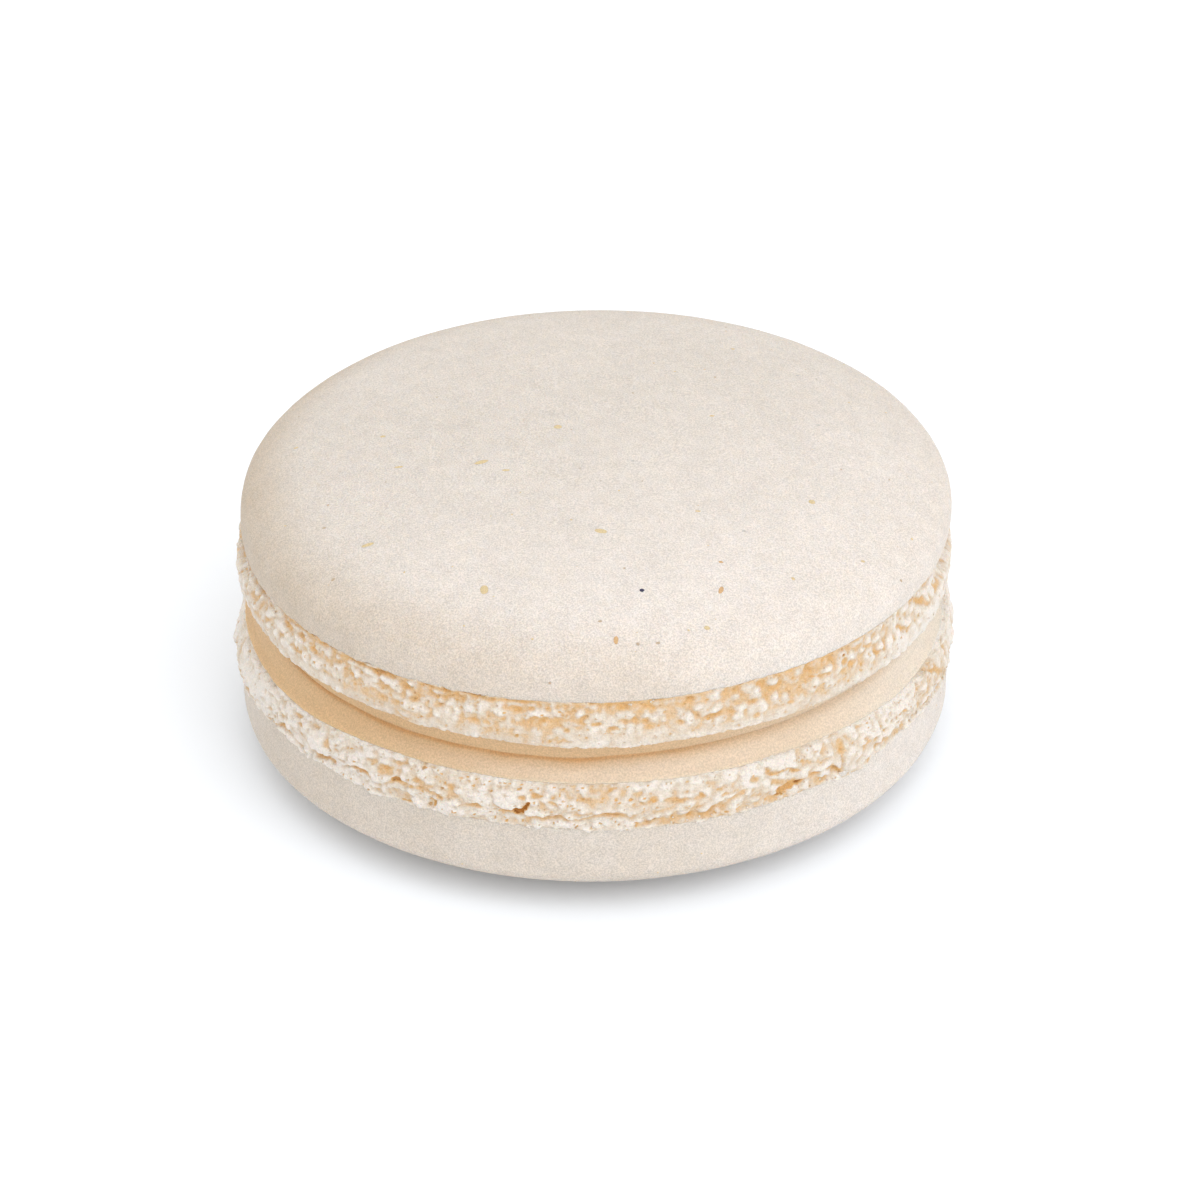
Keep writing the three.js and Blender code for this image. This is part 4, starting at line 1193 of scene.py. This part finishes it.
# ---- Specks and crumbs ---------------------------------------------------------------------------------

# Specks on the upper crust: x and y, half length, half width, degrees turned from the right, and colour.
SPECKS = [
    (-6.84, -2.65, 0.5, 0.22, 24, "golden"), (0.46, -10.69, 0.42, 0.24, -15, "golden"),
    (-13.5, -10.64, 0.42, 0.17, 14, "golden"), (-6.47, -15.88, 0.27, 0.4, 0, "golden"),
    (-2.13, 1.4, 0.27, 0.25, 0, "golden"), (7.47, -16.08, 0.34, 0.16, 75, "orange"),
    (7.54, -13.58, 0.16, 0.1, -10, "orange"), (13.26, -6.89, 0.24, 0.24, 0, "golden"),
    (6.31, -8.5, 0.18, 0.11, 0, "golden"), (11.78, -14.55, 0.16, 0.12, 120, "golden"),
    (-13.01, 1.31, 0.2, 0.14, 0, "golden"), (-18.47, 1.58, 0.16, 0.12, 0, "golden"),
    (7.48, 2.78, 0.18, 0.12, 0, "golden"), (9.12, 12.57, 0.14, 0.12, 0, "golden"),
    (1.25, -20.2, 0.16, 0.3, 0, "orange"), (6.57, -19.06, 0.2, 0.16, 0, "golden"),
    (0.33, -18.89, 0.12, 0.1, 0, "brown"), (2.82, -16.34, 0.16, 0.16, 20, "dark"),
    (-15.52, -13.02, 0.14, 0.12, 30, "brown"), (-16.26, -8.24, 0.14, 0.1, 0, "brown"),
    (14.08, 2.33, 0.17, 0.09, 0, "grey"), (9.01, -10.43, 0.13, 0.12, 0, "grey"),
    (2.47, -2.86, 0.12, 0.1, 0, "grey"), (19.25, -8.62, 0.12, 0.1, 0, "golden"),
    (18.39, -12.02, 0.12, 0.1, 0, "brown"), (16.08, -11.99, 0.14, 0.1, 0, "golden"),
    (3.69, -20.29, 0.14, 0.1, 10, "brown"), (2.52, -20.42, 0.14, 0.1, 170, "brown"),
    (-11.9, -2.6, 0.3, 0.12, 0, "golden"), (-5.3, -3.7, 0.28, 0.12, 0, "golden"),
]


def scatter_tree(name, build, sockets):
    """A tree of that name, with sockets of the given names and kinds, whose insides build() writes."""
    tree = bpy.data.node_groups.get(name)
    if tree:
        return tree
    tree = bpy.data.node_groups.new(name, "GeometryNodeTree")
    tree.interface.new_socket("Geometry", in_out="INPUT", socket_type="NodeSocketGeometry")
    for socket, kind in sockets.items():
        tree.interface.new_socket(socket, in_out="INPUT", socket_type=kind)
    tree.interface.new_socket("Material", in_out="INPUT", socket_type="NodeSocketMaterial")
    tree.interface.new_socket("Geometry", in_out="OUTPUT", socket_type="NodeSocketGeometry")
    nodes = Nodes(tree)
    given = nodes.add("NodeGroupInput").outputs
    smooth = nodes.add("GeometryNodeSetShadeSmooth", {"Geometry": build(nodes, given)})
    finished = nodes.add("GeometryNodeSetMaterial", {"Geometry": smooth, "Material": given["Material"]})
    nodes.add("NodeGroupOutput", {0: finished})
    return tree


def build_crumbs(nodes, given):
    """Small angular crumbs, scattered where the foam is crumbly."""
    crumbly = nodes.add("GeometryNodeInputNamedAttribute", {"Name": "crumbly"}, data_type="FLOAT")
    seed = given["Seed"]
    density = nodes.math("MULTIPLY", crumbly, given["Density"])
    scattered = nodes.add("GeometryNodeDistributePointsOnFaces", {
        "Mesh": given["Geometry"], "Density": density, "Seed": seed
    })
    pebble = nodes.add("GeometryNodeMeshIcoSphere", {"Radius": 1.0, "Subdivisions": 1})
    turns, sizes = (
        nodes.add("FunctionNodeRandomValue", {0: low, 1: high, "Seed": seed}, data_type="FLOAT_VECTOR")
        for low, high in (((0, 0, 0), (6.3, 6.3, 6.3)), ((0.4, 0.4, 0.3), (1, 1, 0.8)))
    )
    sizes = nodes.scale(sizes, given["Size"])
    placed = nodes.add("GeometryNodeInstanceOnPoints", {
        "Points": scattered, "Instance": pebble, "Rotation": turns, "Scale": sizes
    })
    shades = nodes.add("FunctionNodeRandomValue", {2: 0.0, 3: 0.45, "Seed": seed}, data_type="FLOAT")
    shaded = nodes.add("GeometryNodeStoreNamedAttribute", {
        "Geometry": placed, "Name": "hollow", "Value": shades.outputs[1]
    }, data_type="FLOAT", domain="INSTANCE")
    return nodes.add("GeometryNodeRealizeInstances", {"Geometry": shaded})


def build_specks(nodes, given):
    """Flat lenses of uneven outline, one on each point."""
    turn, reach = (
        nodes.add("GeometryNodeInputNamedAttribute", {"Name": name}, data_type="FLOAT_VECTOR")
        for name in ("turn", "reach")
    )
    lens = nodes.add("GeometryNodeMeshIcoSphere", {"Radius": 1.0, "Subdivisions": 3})
    placed = nodes.add("GeometryNodeInstanceOnPoints", {
        "Points": given["Geometry"], "Instance": lens, "Rotation": turn, "Scale": reach
    })
    real = nodes.add("GeometryNodeRealizeInstances", {"Geometry": placed})
    uneven = nodes.noise(nodes.add("GeometryNodeInputPosition"), 0.12 * MM, 2)
    wander = nodes.vector("SUBTRACT", uneven.outputs["Color"], (0.5, 0.5, 0.5))
    flat = nodes.vector("MULTIPLY", wander, (1, 1, 0))
    offset = nodes.scale(flat, given["Wander"])
    return nodes.add("GeometryNodeSetPosition", {"Geometry": real, "Offset": offset})


def speck_material():
    """Grains in the crust: each has its own tint, a little uneven."""
    material, nodes, shader, where = baked_material("crust specks", 0.8, 0.25, 0.5 * MM)
    tint = nodes.add("ShaderNodeAttribute", attribute_name="tint").outputs["Color"]
    grain = nodes.noise(where, 0.1 * MM, 2, 0.7)
    base = nodes.toned(tint, nodes.spread(grain, 0.88, 1.12))
    finish_material(nodes, shader, base, grain.outputs[0], 0.03 * MM, 0.5)
    return material


def drawn_specks(number, smallest, largest, reach, random):
    """Random specks like the ones in the list, within that distance from the axis."""
    for _ in range(number):
        distance, angle = reach * math.sqrt(random.uniform(0, 1)), random.uniform(0, 2 * math.pi)
        size = random.uniform(smallest, largest)
        tint = random.choice(["golden", "golden", "brown", "grey"])
        turn = random.uniform(0, 180)
        x, y = distance * math.cos(angle), distance * math.sin(angle)
        yield x, y, size, size * random.uniform(0.5, 0.9), turn, tint


SPECK_DEPTH = 0.012 * MM  # how far its middle lies under the skin
SPECK_THICKNESS = 0.03 * MM
RAY_START = 30  # millimetres from the macaron's middle, well outside both crusts


def lay_specks(name, crust, rays, colours):
    """Lays specks where the rays meet the crust. Each ray is its start and direction, then the speck's half
    length, half width, turn and colour."""
    places, turns, reaches, tints = [], [], [], []
    for start, direction, half_length, half_width, turn, tint in rays:
        hit, place, normal, _ = crust.ray_cast(start, direction)
        if not hit:
            continue
        aside = normal.cross(Vector((0, 1, 0))).normalized()
        upright = Matrix((aside, normal.cross(aside), normal)).transposed()
        turned = upright @ Matrix.Rotation(math.radians(turn), 3, "Z")
        places.append(place - normal * SPECK_DEPTH)
        turns.append(turned.to_euler())
        reaches.append((half_length * MM, half_width * MM, SPECK_THICKNESS))
        tints.append((*getattr(colours, "speck_" + tint), 1))
    mesh = bpy.data.meshes.new(name)
    mesh.from_pydata(places, [], [])
    add_attribute(mesh, "turn", "FLOAT_VECTOR", turns)
    add_attribute(mesh, "reach", "FLOAT_VECTOR", reaches)
    add_attribute(mesh, "tint", "FLOAT_COLOR", tints)
    tree = scatter_tree("Specks", build_specks, {"Wander": "NodeSocketFloat"})
    return apply_tree(name, mesh, tree, {"Wander": 0.08 * MM, "Material": speck_material()})


# ---- Operators -----------------------------------------------------------------------------------------


class MACARON_OT_add_crusts(bpy.types.Operator):
    """Turn the two smooth crusts"""

    bl_idname = "macaron.add_crusts"
    bl_label = "Add crusts"

    def execute(self, context):
        settings = context.scene.macaron
        crust = settings.crust
        for name, shell, turned, seed in (
            ("upper_crust", settings.upper, False, 0.11),
            ("lower_crust", settings.lower, True, 0.37),
        ):
            profile = crust_profile(shell)
            way = -1 if turned else 1
            profile[:, 1] = shell.base_level + way * profile[:, 1]
            if turned:
                profile = profile[::-1]
            lip_level = shell.base_level + way * shell.lip_height
            tones = LOWER_TONES if turned else UPPER_TONES
            label = name.replace("_", " ")
            material = crust_material(settings.colours, label, shell, lip_level, tones, seed)
            piece = turn_profile(name, profile, {
                "Rounds": crust.rounds,
                "Swell": crust.swell,
                "Swell size": crust.swell_size,
                "Grain": crust.grain,
                "Grain size": crust.grain_size,
                "Ragged": crust.ragged,
                "Ragged size": crust.ragged_size,
                "Edge level": lip_level,
                "Edge band": 0.45 * MM,
                "Shift": shell.shift,
                "Lean": shell.lean,
                "Seed": seed,
                "Material": material,
            })
            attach(piece, "root")
            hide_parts("lower_shell" if turned else "upper_shell")
        return {"FINISHED"}


class MACARON_OT_add_filling(bpy.types.Operator):
    """Turn the soft filling"""

    bl_idname = "macaron.add_filling"
    bl_label = "Add filling"

    def execute(self, context):
        settings = context.scene.macaron
        filling = settings.filling
        crease_level = settings.lower.base_level + filling.crease_rise
        piece = turn_profile("filling_cream", filling_profile(filling, crease_level), {
            "Rounds": filling.rounds,
            "Swell": 0.12 * MM,
            "Swell size": 6 * MM,
            "Grain": 0.01 * MM,
            "Grain size": 0.6 * MM,
            "Ragged": 0.05 * MM,
            "Ragged size": 0.8 * MM,
            "Edge level": filling.bottom_level,
            "Edge band": 0.3 * MM,
            "Rise": filling.rise,
            "Rise level": crease_level,
            "Sag": filling.sag,
            "Seed": 0.53,
            "Material": filling_material(settings.colours, filling, crease_level),
        })
        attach(piece, "root")
        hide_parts("filling")
        return {"FINISHED"}


class MACARON_OT_add_feet(bpy.types.Operator):
    """Make the foamy feet of both shells"""

    bl_idname = "macaron.add_feet"
    bl_label = "Add feet"

    def execute(self, context):
        settings = context.scene.macaron
        material = foam_material(settings.colours)
        for name, shell, kind, way, seed, node in (
            ("upper_foot", settings.upper, UPPER_FOOT, 1, 5, "upper_shell"),
            ("lower_foot", settings.lower, LOWER_FOOT, -1, 17, "lower_shell"),
        ):
            remove_object(name)
            piece = make_foot(name, settings, shell, kind, way, seed)
            piece.data.materials.append(material)
            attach(piece, "root")
            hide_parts(node)
        return {"FINISHED"}


class MACARON_OT_add_specks(bpy.types.Operator):
    """Sprinkle the specks in both crusts"""

    bl_idname = "macaron.add_specks"
    bl_label = "Add specks"

    def execute(self, context):
        random = np.random.default_rng(41)
        above, side = [], []
        for x, y, *speck in SPECKS + list(drawn_specks(70, 0.04, 0.1, 21.5, random)):
            above.append((Vector((x * MM, y * MM, RAY_START * MM)), Vector((0, 0, -1)), *speck))
        for x, y, *speck in drawn_specks(30, 0.05, 0.1, 1.0, random):
            outward = Vector((x, y, 0)).normalized()
            start = outward * RAY_START * MM + Vector((0, 0, random.uniform(1.5, 5.5) * MM))
            side.append((start, -outward, *speck))
        for name, rays, node in (("upper", above, "upper_shell"), ("lower", side, "lower_shell")):
            crust = bpy.data.objects.get(name + "_crust")
            if crust is None:
                raise RuntimeError("The crusts must be added before their specks")
            piece = lay_specks(name + "_specks", crust, rays, context.scene.macaron.colours)
            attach(piece, "root")
            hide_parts(node)
        return {"FINISHED"}


class MACARON_OT_add_crumbs(bpy.types.Operator):
    """Scatter the crumbs along the edges of both feet"""

    bl_idname = "macaron.add_crumbs"
    bl_label = "Add crumbs"

    def execute(self, context):
        settings = context.scene.macaron.foot
        for name, seed, node in (("upper", 3, "upper_shell"), ("lower", 8, "lower_shell")):
            foot = bpy.data.objects.get(name + "_foot")
            if foot is None:
                raise RuntimeError("The feet must be added before their crumbs")
            tree = scatter_tree("Crumbs", build_crumbs, {
                "Density": "NodeSocketFloat", "Size": "NodeSocketFloat", "Seed": "NodeSocketInt"
            })
            piece = apply_tree(name + "_crumbs", foot.data.copy(), tree, {
                "Density": settings.crumbs / MM**2,
                "Size": settings.crumb_size,
                "Seed": seed,
                "Material": foot.data.materials[0],
            })
            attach(piece, "root")
            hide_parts(node)
        return {"FINISHED"}


FLOOR_WHITE = (0.915, 0.938, 0.965, 1)
KEY_PLACE = Vector((0.125, -0.235, 0.245))
KEY_SIZE = 400 * MM
KEY_TINT = (0.96, 1.0, 1.05)
CAMERA_AIM = Vector((0, 0, 6.81 * MM))
SENSOR_WIDTH, FOCAL_LENGTH = 36, 128.7  # millimetres
LENS_SHIFT = (0.00475, 0.01708)


class MACARON_OT_add_stage(bpy.types.Operator):
    """Set the white table, the soft light and the camera"""

    bl_idname = "macaron.add_stage"
    bl_label = "Add stage"

    def execute(self, context):
        scene = context.scene
        stage = scene.macaron.stage
        self.add_floor(stage)
        self.add_light(scene, stage)
        self.add_camera(scene, stage)
        scene.view_settings.view_transform = "Standard"
        return {"FINISHED"}

    def add_floor(self, stage):
        remove_object("floor")
        half = stage.floor_width / 2
        corners = [(-half, -half, 0), (half, -half, 0), (half, half, 0), (-half, half, 0)]
        mesh = bpy.data.meshes.new("floor")
        mesh.from_pydata(corners, [], [(0, 1, 2, 3)])
        material = bpy.data.materials.new("white table")
        material.use_nodes = True
        shader = material.node_tree.nodes["Principled BSDF"]
        shader.inputs["Base Color"].default_value = FLOOR_WHITE
        shader.inputs["Roughness"].default_value = 0.9
        shader.inputs["Specular IOR Level"].default_value = 0.0
        mesh.materials.append(material)
        add_object("floor", mesh)

    def add_light(self, scene, stage):
        world = bpy.data.worlds.new("white room")
        world.use_nodes = True
        background = world.node_tree.nodes["Background"]
        background.inputs["Color"].default_value = (1, 1, 1, 1)
        background.inputs["Strength"].default_value = stage.sky_light
        scene.world = world
        remove_object("key_light")
        lamp = bpy.data.lights.new("key_light", "AREA")
        lamp.shape = "DISK"
        lamp.size = KEY_SIZE
        lamp.energy = stage.key_power
        lamp.color = KEY_TINT
        key = add_object("key_light", lamp)
        key.location = KEY_PLACE
        key.rotation_euler = (-key.location).to_track_quat("-Z", "Y").to_euler()

    def add_camera(self, scene, stage):
        remove_object("camera")
        lens = bpy.data.cameras.new("camera")
        lens.sensor_width, lens.lens = SENSOR_WIDTH, FOCAL_LENGTH
        lens.shift_x, lens.shift_y = LENS_SHIFT
        lens.clip_start, lens.clip_end = 0.01, 10
        camera = add_object("camera", lens)
        back = Vector((0, -math.cos(stage.elevation), math.sin(stage.elevation)))
        turn = (-back).to_track_quat("-Z", "Y").to_matrix().to_4x4() @ Matrix.Rotation(stage.roll, 4, "Z")
        camera.matrix_world = Matrix.Translation(CAMERA_AIM + back * stage.distance) @ turn
        scene.camera = camera


class VIEW3D_PT_macaron(bpy.types.Panel):
    """The macaron's settings and the steps that build it"""

    bl_label = "French Macaron"
    bl_space_type = "VIEW_3D"
    bl_region_type = "UI"
    bl_category = "Macaron"

    def draw(self, context):
        settings = context.scene.macaron
        for group_name in GROUPS:
            box = self.layout.box()
            box.label(text=group_name.capitalize())
            group = getattr(settings, group_name)
            for name in group.__annotations__:
                box.prop(group, name)
        for step in STEPS:
            self.layout.operator(f"macaron.{step}")


class MacaronSettings(bpy.types.PropertyGroup):
    """All settings of the macaron"""

    upper: bpy.props.PointerProperty(type=UpperShellSettings)
    lower: bpy.props.PointerProperty(type=LowerShellSettings)
    crust: bpy.props.PointerProperty(type=CrustSettings)
    foot: bpy.props.PointerProperty(type=FootSettings)
    filling: bpy.props.PointerProperty(type=FillingSettings)
    colours: bpy.props.PointerProperty(type=ColourSettings)
    stage: bpy.props.PointerProperty(type=StageSettings)


GROUPS = ("upper", "lower", "crust", "foot", "filling", "colours", "stage")
STEPS = ("add_stage", "add_crusts", "add_specks", "add_feet", "add_crumbs", "add_filling")
CLASSES = (
    UpperShellSettings,
    LowerShellSettings,
    CrustSettings,
    FootSettings,
    FillingSettings,
    ColourSettings,
    StageSettings,
    MacaronSettings,
    MACARON_OT_add_stage,
    MACARON_OT_add_crusts,
    MACARON_OT_add_specks,
    MACARON_OT_add_feet,
    MACARON_OT_add_crumbs,
    MACARON_OT_add_filling,
    VIEW3D_PT_macaron,
)


def register():
    for cls in CLASSES:
        bpy.utils.register_class(cls)
    bpy.types.Scene.macaron = bpy.props.PointerProperty(type=MacaronSettings)


def unregister():
    del bpy.types.Scene.macaron
    for cls in reversed(CLASSES):
        bpy.utils.unregister_class(cls)


def main():
    register()
    for step in STEPS:
        getattr(bpy.ops.macaron, step)()


if __name__ == "__main__":
    main()
